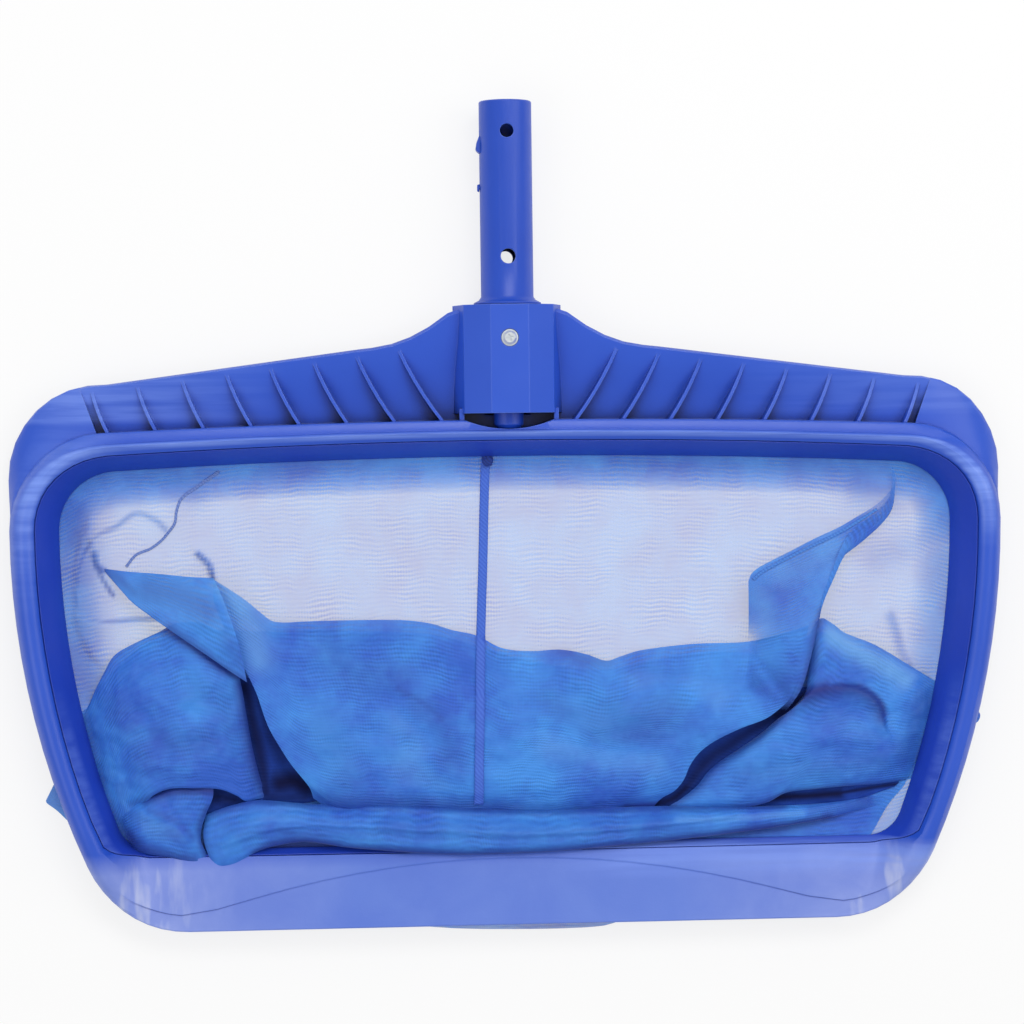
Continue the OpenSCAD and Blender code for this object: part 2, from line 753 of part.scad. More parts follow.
module socket_bolt() {
    under = head_seat + washer_t + 0.02;
    slot = bolt_head_d * 0.5;
    color(steel) placed() translate([0, bolt_place, 0]) difference() {
        union() {
            translate([0, 0, 0.6]) cylinder(d = bolt_d, h = under - 0.6, $fn = fine);
            translate([0, 0, under]) cylinder(d = bolt_head_d, h = bolt_head_h * 0.5, $fn = fine);
            translate([0, 0, under + bolt_head_h * 0.5])
                cylinder(d1 = bolt_head_d, d2 = bolt_head_d * 0.72, h = bolt_head_h * 0.5, $fn = fine);
        }
        for (turn = [0, 90]) rotate([0, 0, turn + 20])
            translate([-slot / 2, -0.45, under + bolt_head_h * 0.35])
                cube([slot, 0.9, bolt_head_h]);
    }
}

module washer(z) {
    translate([0, bolt_place, z]) difference() {
        cylinder(d = washer_d, h = washer_t, $fn = fine);
        translate([0, 0, -1]) cylinder(d = bolt_d + 2 * socket_gap, h = washer_t + 2, $fn = fine);
    }
}

module head_washer() {
    color(steel) placed() washer(head_seat + 0.01);
}

module nut_washer() {
    color(steel) placed() washer(nut_h + 0.68);
}

module socket_nut() {
    color(steel) placed() translate([0, bolt_place, 0.66]) difference() {
        nut_shape(nut_af, nut_h);
        translate([0, 0, -1]) cylinder(d = bolt_d + 0.04, h = nut_h + 2, $fn = fine);
    }
}

// --- Bag -----------------------------------------------------------------------

mouth_inset = 2;

// The mouth's outline drawn in by a distance
function inset(d) = [for (i = [0 : count - 1]) inner[i] - across(i) * d];

// Mesh from the hem down to the floor, then flat across the mouth
module mesh_skirt() {
    top = rim_back - loose / 2;
    closed_loft([for (i = [0 : count - 1])
        [at(i, -9, 0), at(i, -9, mesh_t), at(i, 0, top), at(i, hem_u + hem_t, top),
         at(i, hem_u + hem_t, top - 1.2), at(i, 0.5, top - 1.2)]]);
}

module mesh_floor() {
    linear_extrude(mesh_t) polygon(inset(8));
}

// The bag's end folded back under its upper panel
module heap() {
    edge = inset(12);
    low = inset(15);
    intersection() {
        open_loft([[for (p = edge) concat(p, 0.6)], [for (p = low) concat(p, heap_z)]]);
        translate([-rim_half_w, lip_y, 0]) cube([2 * rim_half_w, -heap_drop - lip_y, rim_h]);
    }
}

// The roll of mesh along the scoop lip
module roll() {
    half = mouth_half_w * 0.68;
    y = -mouth_drop + roll_w / 2 + mouth_inset;
    intersection() {
        translate([-half, y, roll_z - roll_w / 2]) rotate([0, 90, 0])
            cylinder(d = roll_w, h = 2 * half, $fn = 24);
        translate([-rim_half_w, lip_y, 0.6]) cube([2 * rim_half_w, 2 * rim_half_w, rim_h]);
    }
}

// A place given as shares of the mouth's half width and of its depth below the widest line
function in_mouth(x, y) = [x * mouth_half_w, -y * mouth_drop];

// Corners of mesh that stick out from under the frame
module tongues() {
    low = 0.96 * mouth_drop;
    linear_extrude(mesh_t) {
        polygon([in_mouth(-0.84, 0.67), in_mouth(-0.84, 0.93), in_mouth(-0.94, 0.965),
                 in_mouth(-1.045, 0.845), in_mouth(-0.985, 0.775)]);
        polygon([in_mouth(0.84, 0.5), in_mouth(1.05, 0.565), in_mouth(1.057, 0.595),
                 in_mouth(0.84, 0.7)]);
        polygon([[-0.29 * mouth_half_w, -low], [0.29 * mouth_half_w, -low],
                 [0.23 * mouth_half_w, lip_y + 2], [0.16 * mouth_half_w, lip_y - tongue_out + 1],
                 [-0.18 * mouth_half_w, lip_y - tongue_out], [-0.24 * mouth_half_w, lip_y + 2]]);
    }
}

module whole_bag() {
    resize([0, 0, 0]) union() {
        mesh_skirt();
        mesh_floor();
        heap();
        roll();
        tongues();
    }
}

// Each panel stops short of the centre seam by half its tape
module half_plane(side) {
    wide = 2 * rim_half_w;
    translate([(side > 0 ? loose / 2 : -wide - loose / 2) - seam_x, -wide, -1])
        cube([wide, 2 * wide, 60]);
}

module bag_panel(side) {
    color(mesh_blue) placed() intersection() {
        whole_bag();
        half_plane(side);
    }
}

module bag_left_panel() {
    bag_panel(-1);
}

module bag_right_panel() {
    bag_panel(1);
}

// Tapes lie on the panels
module centre_seam_tape() {
    z = mesh_t + loose;
    top_y = mouth_top - 10;
    color(tape_blue) placed() {
        translate([-seam_x - seam_w / 2, -heap_drop + loose, z])
            cube([seam_w, top_y + heap_drop, seam_t]);
    }
}

// A side seam's tape, half as wide, along a run of places from its top
module seam_tape(run) {
    z = mesh_t + loose;
    color(tape_blue) placed() translate([0, 0, z]) linear_extrude(seam_t)
        for (k = [0 : len(run) - 2]) hull()
            for (p = [run[k], run[k + 1]]) translate(p) circle(d = seam_w / 2, $fn = 12);
}

module left_seam_tape() {
    seam_tape([in_mouth(-0.68, -0.135), in_mouth(-0.73, -0.085), in_mouth(-0.745, 0),
               in_mouth(-0.79, 0.065), in_mouth(-0.85, 0.105)]);
}

module right_seam_tape() {
    seam_tape([in_mouth(0.868, -0.105), in_mouth(0.85, -0.04), in_mouth(0.775, 0),
               in_mouth(0.66, 0.08), in_mouth(0.585, 0.13)]);
}

module hem_tape() {
    color(tape_blue) placed() closed_loft([for (i = [0 : count - 1])
        [at(i, hem_u, hem_z0), at(i, hem_u, hem_z1), at(i, hem_u + hem_t, hem_z1),
         at(i, hem_u + hem_t, hem_z0)]]);
}

module hem_piping() {
    color(tape_blue) placed() closed_loft([for (i = [0 : count - 1])
        [for (a = [0 : 45 : 315])
            at(i, piping_u - piping_d / 2 * cos(a), hem_z0 + piping_d / 2 + piping_d / 2 * sin(a))]]);
}

outer_frame();
retaining_ring();
handle_shank();
snap_spring();
snap_button();
socket_bolt();
head_washer();
nut_washer();
socket_nut();
bag_left_panel();
bag_right_panel();
centre_seam_tape();
left_seam_tape();
right_seam_tape();
hem_tape();
hem_piping();
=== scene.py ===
# Leaf skimmer net: a blue moulded frame with its pole shank, and a knitted mesh bag folded in its mouth.
# Lengths in the dictionaries are millimetres in the frame's own coordinates.
import math
import bpy
import numpy as np
from mathutils import Matrix, Vector, noise
from mathutils.bvhtree import BVHTree


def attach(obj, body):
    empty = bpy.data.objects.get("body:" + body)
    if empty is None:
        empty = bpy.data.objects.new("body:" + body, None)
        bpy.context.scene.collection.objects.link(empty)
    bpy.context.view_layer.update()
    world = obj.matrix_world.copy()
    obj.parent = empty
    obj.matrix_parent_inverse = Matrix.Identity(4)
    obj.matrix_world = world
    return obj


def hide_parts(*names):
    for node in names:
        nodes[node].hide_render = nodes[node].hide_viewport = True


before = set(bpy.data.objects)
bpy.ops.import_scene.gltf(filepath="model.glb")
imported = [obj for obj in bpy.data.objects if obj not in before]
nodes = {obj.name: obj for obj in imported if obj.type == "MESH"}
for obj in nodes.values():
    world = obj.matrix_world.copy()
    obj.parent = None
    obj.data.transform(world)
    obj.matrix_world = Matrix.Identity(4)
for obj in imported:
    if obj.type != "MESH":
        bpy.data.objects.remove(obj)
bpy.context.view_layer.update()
bpy.ops.object.select_all(action='DESELECT')
mm = 0.001
print("frame loaded")


view = {
    "target": (2.257, 2.482, 0.0),      # what the camera looks at, on the floor
    "distance": 1622.0,
    "swing": -3.51, "tilt": 1.777, "turn": -0.73,       # degrees
    "sensor": 36.0, "lens": 103.753125,
    "near": 50.0, "far": 20000.0,       # how far it sees
}

stageSettings = {
    "floorSize": 2600.0,
    "floorColour": "#fbfbfb",
    "worldColour": "#ffffff",
    "worldLevel": 0.56,
    "floorGlow": 0.76,      # share of the floor that the camera sees as plain white
    "aim": (0, -40, 0),     # what the lamps point at
    "lamps": [
        # name, place, width, depth, watts
        ("softboxBack", (150, 820, 1300), 900, 500, 7.0),
        ("softboxLeft", (-1000, -250, 1150), 700, 900, 3.0),
        ("softboxRight", (1050, 250, 1100), 700, 900, 3.4),
    ],
}


def makeCamera():
    data = bpy.data.cameras.new("camera")
    data.sensor_width = view["sensor"]
    data.lens = view["lens"]
    data.clip_start, data.clip_end = view["near"] * mm, view["far"] * mm
    camera = bpy.data.objects.new("camera", data)
    bpy.context.scene.collection.objects.link(camera)
    swing, tilt = math.radians(view["swing"]), math.radians(view["tilt"])
    back = Vector((math.sin(swing) * math.cos(tilt), math.sin(tilt), math.cos(swing) * math.cos(tilt)))
    side = Vector((0, 1, 0)).cross(back).normalized()
    aim = Matrix((side, back.cross(side), back)).transposed()
    turned = aim @ Matrix.Rotation(math.radians(view["turn"]), 3, 'Z')
    place = (Vector(view["target"]) + back * view["distance"]) * mm
    camera.matrix_world = Matrix.Translation(place) @ turned.to_4x4()
    bpy.context.scene.camera = camera


def channel(value):
    return value / 12.92 if value <= 0.04045 else ((value + 0.055) / 1.055) ** 2.4


def colour(text):
    # an sRGB hex value as the linear colour that nodes take
    parts = [int(text[i:i + 2], 16) / 255 for i in (1, 3, 5)]
    return tuple(channel(part) for part in parts) + (1.0,)


def add(tree, kind, inputs=None, **settings):
    # one node with its settings, values and links: a node as a value stands for its first output in use,
    # and a text for a colour
    made = tree.nodes.new("ShaderNode" + kind)
    for name, value in settings.items():
        setattr(made, name, value)
    for name, value in (inputs or {}).items():
        if isinstance(value, bpy.types.Node):
            value = next(socket for socket in value.outputs if socket.enabled)
        if isinstance(value, bpy.types.NodeSocket):
            tree.links.new(value, made.inputs[name])
        else:
            made.inputs[name].default_value = colour(value) if isinstance(value, str) else value
    return made


def newMaterial(name):
    made = bpy.data.materials.new(name)
    made.use_nodes = True
    made.node_tree.nodes.clear()
    return made, made.node_tree


def makeStage():
    bpy.ops.mesh.primitive_plane_add(size=stageSettings["floorSize"] * mm, location=(0, 0, 0))
    floor = bpy.context.object
    floor.name = "floor"
    # matt white paper: partly plain white to the camera, and the rest keeps the object's shadow
    paper, tree = newMaterial("whitePaper")
    seen = add(tree, "LightPath").outputs["Is Camera Ray"]
    share = add(tree, "Math", {0: seen, 1: stageSettings["floorGlow"]}, operation='MULTIPLY')
    matt = add(tree, "BsdfDiffuse", {"Color": stageSettings["floorColour"]})
    plain = add(tree, "Emission")
    mixed = add(tree, "MixShader", {0: share, 1: matt, 2: plain})
    add(tree, "OutputMaterial", {"Surface": mixed})
    floor.data.materials.append(paper)

    world = bpy.data.worlds.new("studio")
    bpy.context.scene.world = world
    world.use_nodes = True
    tree = world.node_tree
    tree.nodes.clear()
    seen = add(tree, "LightPath").outputs["Is Camera Ray"]
    soft = add(tree, "Background", {"Color": stageSettings["worldColour"],
                                    "Strength": stageSettings["worldLevel"]})
    white = add(tree, "Background", {"Color": "#ffffff"})
    mixed = add(tree, "MixShader", {0: seen, 1: soft, 2: white})
    add(tree, "OutputWorld", {"Surface": mixed})

    for name, place, width, depth, watts in stageSettings["lamps"]:
        data = bpy.data.lights.new(name, 'AREA')
        data.shape = 'RECTANGLE'
        data.size, data.size_y = width * mm, depth * mm
        data.energy = watts
        lamp = bpy.data.objects.new(name, data)
        bpy.context.scene.collection.objects.link(lamp)
        lamp.location = [value * mm for value in place]
        aim = Vector([value * mm for value in stageSettings["aim"]]) - lamp.location
        lamp.rotation_euler = aim.to_track_quat('-Z', 'Y').to_euler()
    bpy.context.scene.view_settings.view_transform = 'Standard'


makeCamera()
makeStage()
print("camera, floor and lamps made")


plastic = {
    "bright": "#2f5dd6", "deep": "#2450c4",         # the frame
    "ringBright": "#2649c6", "ringDeep": "#1d3db4",
    "shankBright": "#2050c8", "shankDeep": "#1a46b8",
    # painted light: the lip is painted paler, as if light came through its thin blade and off its face
    "lipPaintedLight": "#6484de",
    "lipEndsPaintedLight": "#93a4e8",       # painted light: the lip's ends, where the blade is thinnest, painted paler still
    "paintedReflection": "#dfe5f6",         # painted reflection streaks near the lip's corners
    "edgeHighlight": "#6f8ef2",          # painted highlight along edges
    "streakHighlight": "#7c9cf6",        # painted light in broken streaks
    "cornerShade": "#16309a",        # painted shade in inner corners
    "pocketShade": "#0a1036",           # painted shade in the depth of the pocket under the socket
    "roughness": 0.33,
    "ior": 1.49,
    "edge": 0.8,                # width of the painted edge highlight
    "cornerShadeReach": 7.0, "pocketShadeReach": 30.0,       # how far the painted shade of corners and pockets reaches
    "grain": 1.1,               # drawn coarser than the tool's own texture so that it shows
    "grainDepth": 0.3,
    "raySamples": 6,
    "lipY": (-178, -190), "endsX": (85, 200), "cornersX": (165, 200),       # where the lip's painted light and painted reflection come in
}


def lipTones(tree, spot, base):
    # painted light: the blade along the lip is painted paler, as if light came through its thin wall and off
    # its face, most of all at its ends
    split = add(tree, "SeparateXYZ", {"Vector": spot})
    (lipStart, lipFull), (endStart, endFull), (cornerStart, cornerFull) = [
        [place * mm for place in plastic[key]] for key in ("lipY", "endsX", "cornersX")]
    down = add(tree, "MapRange", {"Value": split.outputs["Y"], "From Min": lipStart, "From Max": lipFull})
    cloud = add(tree, "TexNoise", {"Vector": spot, "Scale": 22.0, "Detail": 4.0, "Roughness": 0.6,
                                   "Distortion": 0.4})
    patch = add(tree, "MapRange", {"Value": cloud, "From Min": 0.35, "From Max": 0.7, "To Min": 0.72})
    away = add(tree, "Math", {0: split.outputs["X"]}, operation='ABSOLUTE')
    ends = add(tree, "MapRange", {"Value": away, "From Min": endStart, "From Max": endFull})
    blotch = add(tree, "Math", {0: ends, 1: patch}, operation='MULTIPLY')
    lip = add(tree, "Mix", {"Factor": blotch, 6: plastic["lipPaintedLight"], 7: plastic["lipEndsPaintedLight"]}, data_type='RGBA')
    # painted reflection: whitish streaks near the lip's corners
    stretched = add(tree, "Mapping", {"Vector": spot, "Scale": (95.0, 22.0, 22.0)})
    streak = add(tree, "TexNoise", {"Vector": stretched, "Scale": 1.0, "Detail": 3.0})
    reflectionStreak = add(tree, "MapRange", {"Value": streak, "From Min": 0.56, "From Max": 0.68, "To Max": 0.55})
    corner = add(tree, "MapRange", {"Value": away, "From Min": cornerStart, "From Max": cornerFull})
    shown = add(tree, "Math", {0: reflectionStreak, 1: corner}, operation='MULTIPLY')
    lipLit = add(tree, "Mix", {"Factor": shown, 6: lip, 7: plastic["paintedReflection"]}, data_type='RGBA')
    much = add(tree, "Math", {0: down, 1: patch}, operation='MULTIPLY')
    return add(tree, "Mix", {"Factor": much, 6: base, 7: lipLit}, data_type='RGBA')


# painted light: where the mouldings are painted paler as highlights, in broken streaks: each place comes in
# over its ranges, and ends over "until" along Y
paintedLightPlaces = {
    "frame": [
        {"within": {"Z": (27.0, 29.2), "Y": (-20, 20)}, "until": (53, 47), "amount": 1.0},
        {"within": {"Y": (53, 57), "X": (-120, -205)}, "until": (99, 98), "amount": 0.5},
        {"within": {"Y": (53, 57), "X": (120, 205)}, "until": (99, 98), "amount": 0.24},
        {"within": {"X": (-205, -228), "Z": (17, 24)}, "until": (-50, 0), "amount": 0.35},
        {"within": {"X": (20, 60), "Y": (-181, -183.5)}, "until": (-200, -192), "amount": 0.55},
    ],
    "ring": [
        {"within": {"X": (20, 60), "Y": (-178.6, -180.6)}, "until": (-199, -198), "amount": 0.8},
        {"within": {"Y": (-85, -125), "Z": (15, 21)}, "until": (-199, -198), "amount": 0.34},
    ],
}


# painted light: paler broken streaks mixed in at each place
def paintedLightTones(tree, spot, base, places):
    split = add(tree, "SeparateXYZ", {"Vector": spot})
    along = add(tree, "Mapping", {"Vector": spot, "Scale": (14.0, 260.0, 60.0)})
    streak = add(tree, "TexNoise", {"Vector": along, "Scale": 1.0, "Detail": 4.0})
    for place in places:
        start, end = place["until"]
        until = add(tree, "MapRange", {"Value": split.outputs["Y"], "From Min": start * mm,
                                       "From Max": end * mm})
        broken = add(tree, "MapRange", {"Value": streak, "From Min": 0.35, "From Max": 0.6,
                                        "To Min": 0.4 * place["amount"], "To Max": place["amount"]})
        much = add(tree, "Math", {0: broken, 1: until}, operation='MULTIPLY')
        for axis, (start, full) in place["within"].items():
            ramp = add(tree, "MapRange", {"Value": split.outputs[axis], "From Min": start * mm,
                                          "From Max": full * mm})
            much = add(tree, "Math", {0: much, 1: ramp}, operation='MULTIPLY')
        base = add(tree, "Mix", {"Factor": much, 6: base, 7: plastic["streakHighlight"]}, data_type='RGBA')
    return base


def framePlastic(name, bright, deep, lip=False, edgeShine=0.6, alone=True, places=()):
    # injection-moulded polypropylene: waxy sheen, faint flow marks, a fine tool texture, with painted shade
    # in corners and pockets, painted highlights along edges and painted light streaks
    made, tree = newMaterial(name)
    rays = plastic["raySamples"]
    spot = add(tree, "TexCoord").outputs["Object"]
    flow = add(tree, "TexNoise", {"Vector": spot, "Scale": 14.0, "Detail": 3.0, "Roughness": 0.55})
    base = add(tree, "Mix", {"Factor": flow, 6: deep, 7: bright}, data_type='RGBA')
    if lip:
        base = lipTones(tree, spot, base)
    # painted shade: darker in inner corners and deep pockets
    near = add(tree, "AmbientOcclusion", {"Distance": plastic["cornerShadeReach"] * mm}, samples=rays,
               only_local=alone).outputs["AO"]
    closed = add(tree, "MapRange", {"Value": near, "From Min": 0.35, "From Max": 0.85,
                                    "To Min": 0.55 if alone else 0.85, "To Max": 0.0})
    cornerShaded = add(tree, "Mix", {"Factor": closed, 6: base, 7: plastic["cornerShade"]}, data_type='RGBA')
    inside = add(tree, "AmbientOcclusion", {"Distance": plastic["pocketShadeReach"] * mm}, samples=rays,
                 only_local=True).outputs["AO"]
    dark = add(tree, "MapRange", {"Value": inside, "From Min": 0.16, "From Max": 0.4, "To Min": 0.95,
                                  "To Max": 0.0})
    shaded = add(tree, "Mix", {"Factor": dark, 6: cornerShaded, 7: plastic["pocketShade"]}, data_type='RGBA')
    # painted highlight: a paler colour along convex and concave edges
    rounded = add(tree, "Bevel", {"Radius": plastic["edge"] * mm}, samples=rays)
    flat = add(tree, "NewGeometry").outputs["Normal"]
    lean = add(tree, "VectorMath", {0: rounded, 1: flat}, operation='DOT_PRODUCT')
    edge = add(tree, "MapRange", {"Value": lean, "From Min": 0.99, "From Max": 0.86, "To Max": edgeShine})
    exposed = add(tree, "MapRange", {"Value": near, "From Min": 0.7, "From Max": 0.95})
    shine = add(tree, "Math", {0: edge, 1: exposed}, operation='MULTIPLY')
    tone = add(tree, "Mix", {"Factor": shine, 6: shaded, 7: plastic["edgeHighlight"]}, data_type='RGBA')
    if places:
        tone = paintedLightTones(tree, spot, tone, places)
    grain = add(tree, "TexNoise", {"Vector": spot, "Scale": 1 / (plastic["grain"] * mm)})
    bump = add(tree, "Bump", {"Height": grain, "Strength": 0.12, "Distance": plastic["grainDepth"] * mm,
                              "Normal": rounded})
    wear = add(tree, "TexNoise", {"Vector": spot, "Scale": 60.0, "Detail": 6.0})
    gloss = add(tree, "MapRange", {"Value": wear, "To Min": plastic["roughness"] - 0.07,
                                   "To Max": plastic["roughness"] + 0.1})
    shader = add(tree, "BsdfPrincipled", {"Base Color": tone, "Roughness": gloss, "IOR": plastic["ior"],
                                          "Normal": bump})
    add(tree, "OutputMaterial", {"Surface": shader})
    return made


mesh = {
    "thread": "#3f91ec", "deepThread": "#2b62cf",
    "shadeSheetThread": "#2750b8", "shadeSheetDeep": "#1f3f9c",       # painted shade: the same, darker, for the sheets laid in the depth of folds
    "lit": "#74b4f2",           # painted light along ridges and lit faces, and where the cloth is stretched thin over the pale floor
    "shadeTint": "#122a88",       # painted shade along folds and under pieces lying over others, partly where many layers lie close
    "deepShadeTint": "#0d1442",     # painted shade: the darkest lines in the depth of a fold
    "cover": 0.44,              # share of the view that one layer's threads cover
    "rib": 2.2,                 # between knitted courses, drawn coarser than the real 0.8
    "wale": 1.4,                # between columns of stitches
    "sway": 7.0,                # how far the courses wander
    "relief": 0.3,
    "roughness": 0.62,
}


def knittedMesh(name, thread, deep, shadeTint, sheen=0.12, specular=0.5):
    # warp-knitted polyester mesh: see-through in one layer, deep blue where it lies folded, with painted
    # shade and painted light along marked lines
    made, tree = newMaterial(name)
    cloth = add(tree, "UVMap", uv_map="cloth")
    split = add(tree, "SeparateXYZ", {"Vector": cloth})
    layers = add(tree, "Attribute", attribute_name="layerCount").outputs["Fac"]
    shade = add(tree, "Attribute", attribute_name="paintedShadeAndLight").outputs["Fac"]
    spot = add(tree, "TexCoord").outputs["Object"]
    sway = add(tree, "TexNoise", {"Vector": cloth, "Scale": 45.0, "Detail": 3.0})
    swayed = add(tree, "Math", {0: sway, 1: mesh["sway"] * mm, 2: split.outputs["Y"]},
                 operation='MULTIPLY_ADD')
    rib = add(tree, "Math", {0: swayed, 1: 2 * math.pi / (mesh["rib"] * mm)}, operation='MULTIPLY')
    ribWave = add(tree, "Math", {0: rib}, operation='SINE')
    wale = add(tree, "Math", {0: split.outputs["X"], 1: 2 * math.pi / (mesh["wale"] * mm)},
               operation='MULTIPLY')
    waleWave = add(tree, "Math", {0: wale}, operation='SINE')
    knit = add(tree, "Math", {0: waleWave, 1: 0.35, 2: ribWave}, operation='MULTIPLY_ADD')
    # the courses show in patches, where the cloth is pulled
    pulled = add(tree, "TexNoise", {"Vector": cloth, "Scale": 55.0, "Detail": 3.0, "Roughness": 0.6})
    uneven = add(tree, "MapRange", {"Value": pulled, "From Min": 0.42, "From Max": 0.68, "To Min": 0.15})
    shown = add(tree, "Math", {0: knit, 1: uneven}, operation='MULTIPLY')
    gaps = add(tree, "Math", {0: shown, 1: -0.11, 2: 1 - mesh["cover"]}, operation='MULTIPLY_ADD')
    through = add(tree, "Math", {0: gaps, 1: layers}, operation='POWER')
    shut = add(tree, "Math", {0: 1.0, 1: through}, operation='SUBTRACT', use_clamp=True)
    cloud = add(tree, "TexNoise", {"Vector": spot, "Scale": 24.0, "Detail": 5.0, "Roughness": 0.62})
    cloudy = add(tree, "MapRange", {"Value": cloud, "From Min": 0.36, "From Max": 0.64})
    tone = add(tree, "Mix", {"Factor": cloudy, 6: deep, 7: thread}, data_type='RGBA')
    streak = add(tree, "Math", {0: shown, 1: 0.13, 2: 1.0}, operation='MULTIPLY_ADD')
    ribbed = add(tree, "VectorMath", {0: tone, "Scale": streak}, operation='SCALE')
    # painted shade, then painted light, from the cloth's own marks
    shaded = add(tree, "Mix", {"Factor": shade, 6: ribbed, 7: shadeTint}, data_type='RGBA')
    less = add(tree, "Math", {0: shade, 1: -1.0}, operation='MULTIPLY', use_clamp=True)
    lit = add(tree, "Mix", {"Factor": less, 6: shaded, 7: mesh["lit"]}, data_type='RGBA')
    bump = add(tree, "Bump", {"Height": shown, "Strength": 0.4, "Distance": mesh["relief"] * mm})
    shader = add(tree, "BsdfPrincipled", {
        "Base Color": lit, "Roughness": mesh["roughness"], "Alpha": shut, "Sheen Weight": sheen,
        "Sheen Roughness": 0.4, "Specular IOR Level": specular, "Normal": bump})
    add(tree, "OutputMaterial", {"Surface": shader})
    return made


tape = {
    # bright and deep threads
    "hem": ("#4a74dc", "#3c64cf"),
    "leftSide": ("#7c98dc", "#6480cc"),     # thin, on the single layer
    "rightSide": ("#4f8ce0", "#3f76d2"),    # thin, along the right flap
    "knot": ("#20409c", "#17307e"),
    "leftCover": 0.8,       # share of the view that the thinnest covers
    "relief": 0.2,
    "roughness": 0.75,
}


def wovenTape(name, bright, deep, cover=1.0):
    # woven polyester tape: matt, with a fine twill, and see-through by its cover
    made, tree = newMaterial(name)
    spot = add(tree, "TexCoord").outputs["Object"]
    twill = add(tree, "TexWave", {"Vector": spot, "Scale": 260.0, "Distortion": 1.5}, wave_type='BANDS',
                bands_direction='DIAGONAL').outputs["Fac"]
    tone = add(tree, "Mix", {"Factor": twill, 6: deep, 7: bright}, data_type='RGBA')
    bump = add(tree, "Bump", {"Height": twill, "Strength": 0.5, "Distance": tape["relief"] * mm})
    shader = add(tree, "BsdfPrincipled", {"Base Color": tone, "Roughness": tape["roughness"],
                                          "Normal": bump, "Alpha": cover})
    add(tree, "OutputMaterial", {"Surface": shader})
    return made


def steel(name, tint, roughness):
    # drawn steel: bright, with fine scratches that change how rough it looks
    made, tree = newMaterial(name)
    spot = add(tree, "TexCoord").outputs["Object"]
    scratch = add(tree, "TexNoise", {"Vector": spot, "Scale": 900.0, "Detail": 4.0})
    gloss = add(tree, "MapRange", {"Value": scratch, "To Min": roughness - 0.06, "To Max": roughness + 0.1})
    tone = add(tree, "Mix", {"Factor": scratch, 6: tint, 7: "#eef3f7"}, data_type='RGBA')
    shader = add(tree, "BsdfPrincipled", {"Base Color": tone, "Metallic": 1.0, "Roughness": gloss})
    add(tree, "OutputMaterial", {"Surface": shader})
    return made


frameBlue = framePlastic("mouldedPolypropyleneFrame", plastic["bright"], plastic["deep"], lip=True,
                         edgeShine=0.75, places=paintedLightPlaces["frame"])
# the ring's painted corner shade also darkens where the cloth lies close over it
ringBlue = framePlastic("mouldedPolypropyleneRing", plastic["ringBright"], plastic["ringDeep"], edgeShine=0.3,
                        alone=False, places=paintedLightPlaces["ring"])
shankBlue = framePlastic("mouldedPolypropyleneShank", plastic["shankBright"], plastic["shankDeep"],
                         edgeShine=0.35)
meshBlue = knittedMesh("knittedPolyesterMesh", mesh["thread"], mesh["deepThread"], mesh["shadeTint"])
meshDark = knittedMesh("knittedPolyesterMeshPaintedShade", mesh["shadeSheetThread"], mesh["shadeSheetDeep"],
                       mesh["deepShadeTint"], sheen=0.0, specular=0.1)
tapeBlue = wovenTape("wovenPolyesterTape", *tape["hem"])
paleTape = wovenTape("paleTape", *tape["leftSide"], cover=tape["leftCover"])
flapTape = wovenTape("flapTape", *tape["rightSide"])
knotBlue = wovenTape("wovenPolyesterTapeKnot", *tape["knot"])
boltSteel = steel("zincPlatedSteel", "#e6edf4", 0.3)
springSteel = steel("springSteel", "#8d949c", 0.34)

cadFinish = {
    "outer_frame": frameBlue, "retaining_ring": ringBlue, "handle_shank": shankBlue,
    "snap_button": shankBlue, "snap_spring": springSteel, "socket_bolt": boltSteel,
    "head_washer": boltSteel, "nut_washer": boltSteel, "socket_nut": boltSteel,
    "hem_tape": tapeBlue, "hem_piping": tapeBlue,
}
sharpAngles = {"outer_frame": 32, "retaining_ring": 32, "others": 38}       # degrees, edges above stay sharp


def smoothNode(item, angle):
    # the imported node's own vertices stay; modifiers round its shading
    bpy.context.view_layer.objects.active = item
    item.select_set(True)
    bpy.ops.mesh.customdata_custom_splitnormals_clear()
    item.select_set(False)
    for face in item.data.polygons:
        face.use_smooth = True
    join = item.modifiers.new("joinDoubles", 'WELD')
    join.merge_threshold = 0.01 * mm
    split = item.modifiers.new("sharpEdges", 'EDGE_SPLIT')
    split.split_angle = math.radians(angle)


for name, item in nodes.items():
    finish = cadFinish.get(name)
    if finish:
        item.data.materials.clear()
        item.data.materials.append(finish)
        smoothNode(item, sharpAngles.get(name, sharpAngles["others"]))
bpy.ops.object.select_all(action='DESELECT')
print("frame materials set")


def newPiece(name):
    # the primitive that was just added, under its own name and smooth
    item = bpy.context.object
    item.name = item.data.name = name
    for face in item.data.polygons:
        face.use_smooth = True
    item.select_set(False)
    return item


def readPlaces(item):
    # where the vertices are, one row for each
    places = np.zeros(len(item.data.vertices) * 3)
    item.data.vertices.foreach_get("co", places)
    return places.reshape(-1, 3)


def writePlaces(item, places):
    item.data.vertices.foreach_set("co", places.ravel())
    item.data.update()


def softLine(points, steps=10):
    # a soft curve through the given points
    line = [Vector(point) for point in points]
    times = [0.0]
    for a, b in zip(line, line[1:]):
        times.append(times[-1] + max((b - a).length, 0.001))
    slopes = []
    for i in range(len(line)):
        low, high = max(0, i - 1), min(len(line) - 1, i + 1)
        slopes.append((line[high] - line[low]) / (times[high] - times[low]))
    made = []
    for i in range(len(line) - 1):
        gap = times[i + 1] - times[i]
        for k in range(steps):
            t = k / steps
            made.append(line[i] * (2 * t ** 3 - 3 * t * t + 1) + slopes[i] * (gap * (t ** 3 - 2 * t * t + t))
                        + line[i + 1] * (3 * t * t - 2 * t ** 3) + slopes[i + 1] * (gap * (t ** 3 - t * t)))
    made.append(line[-1])
    return made


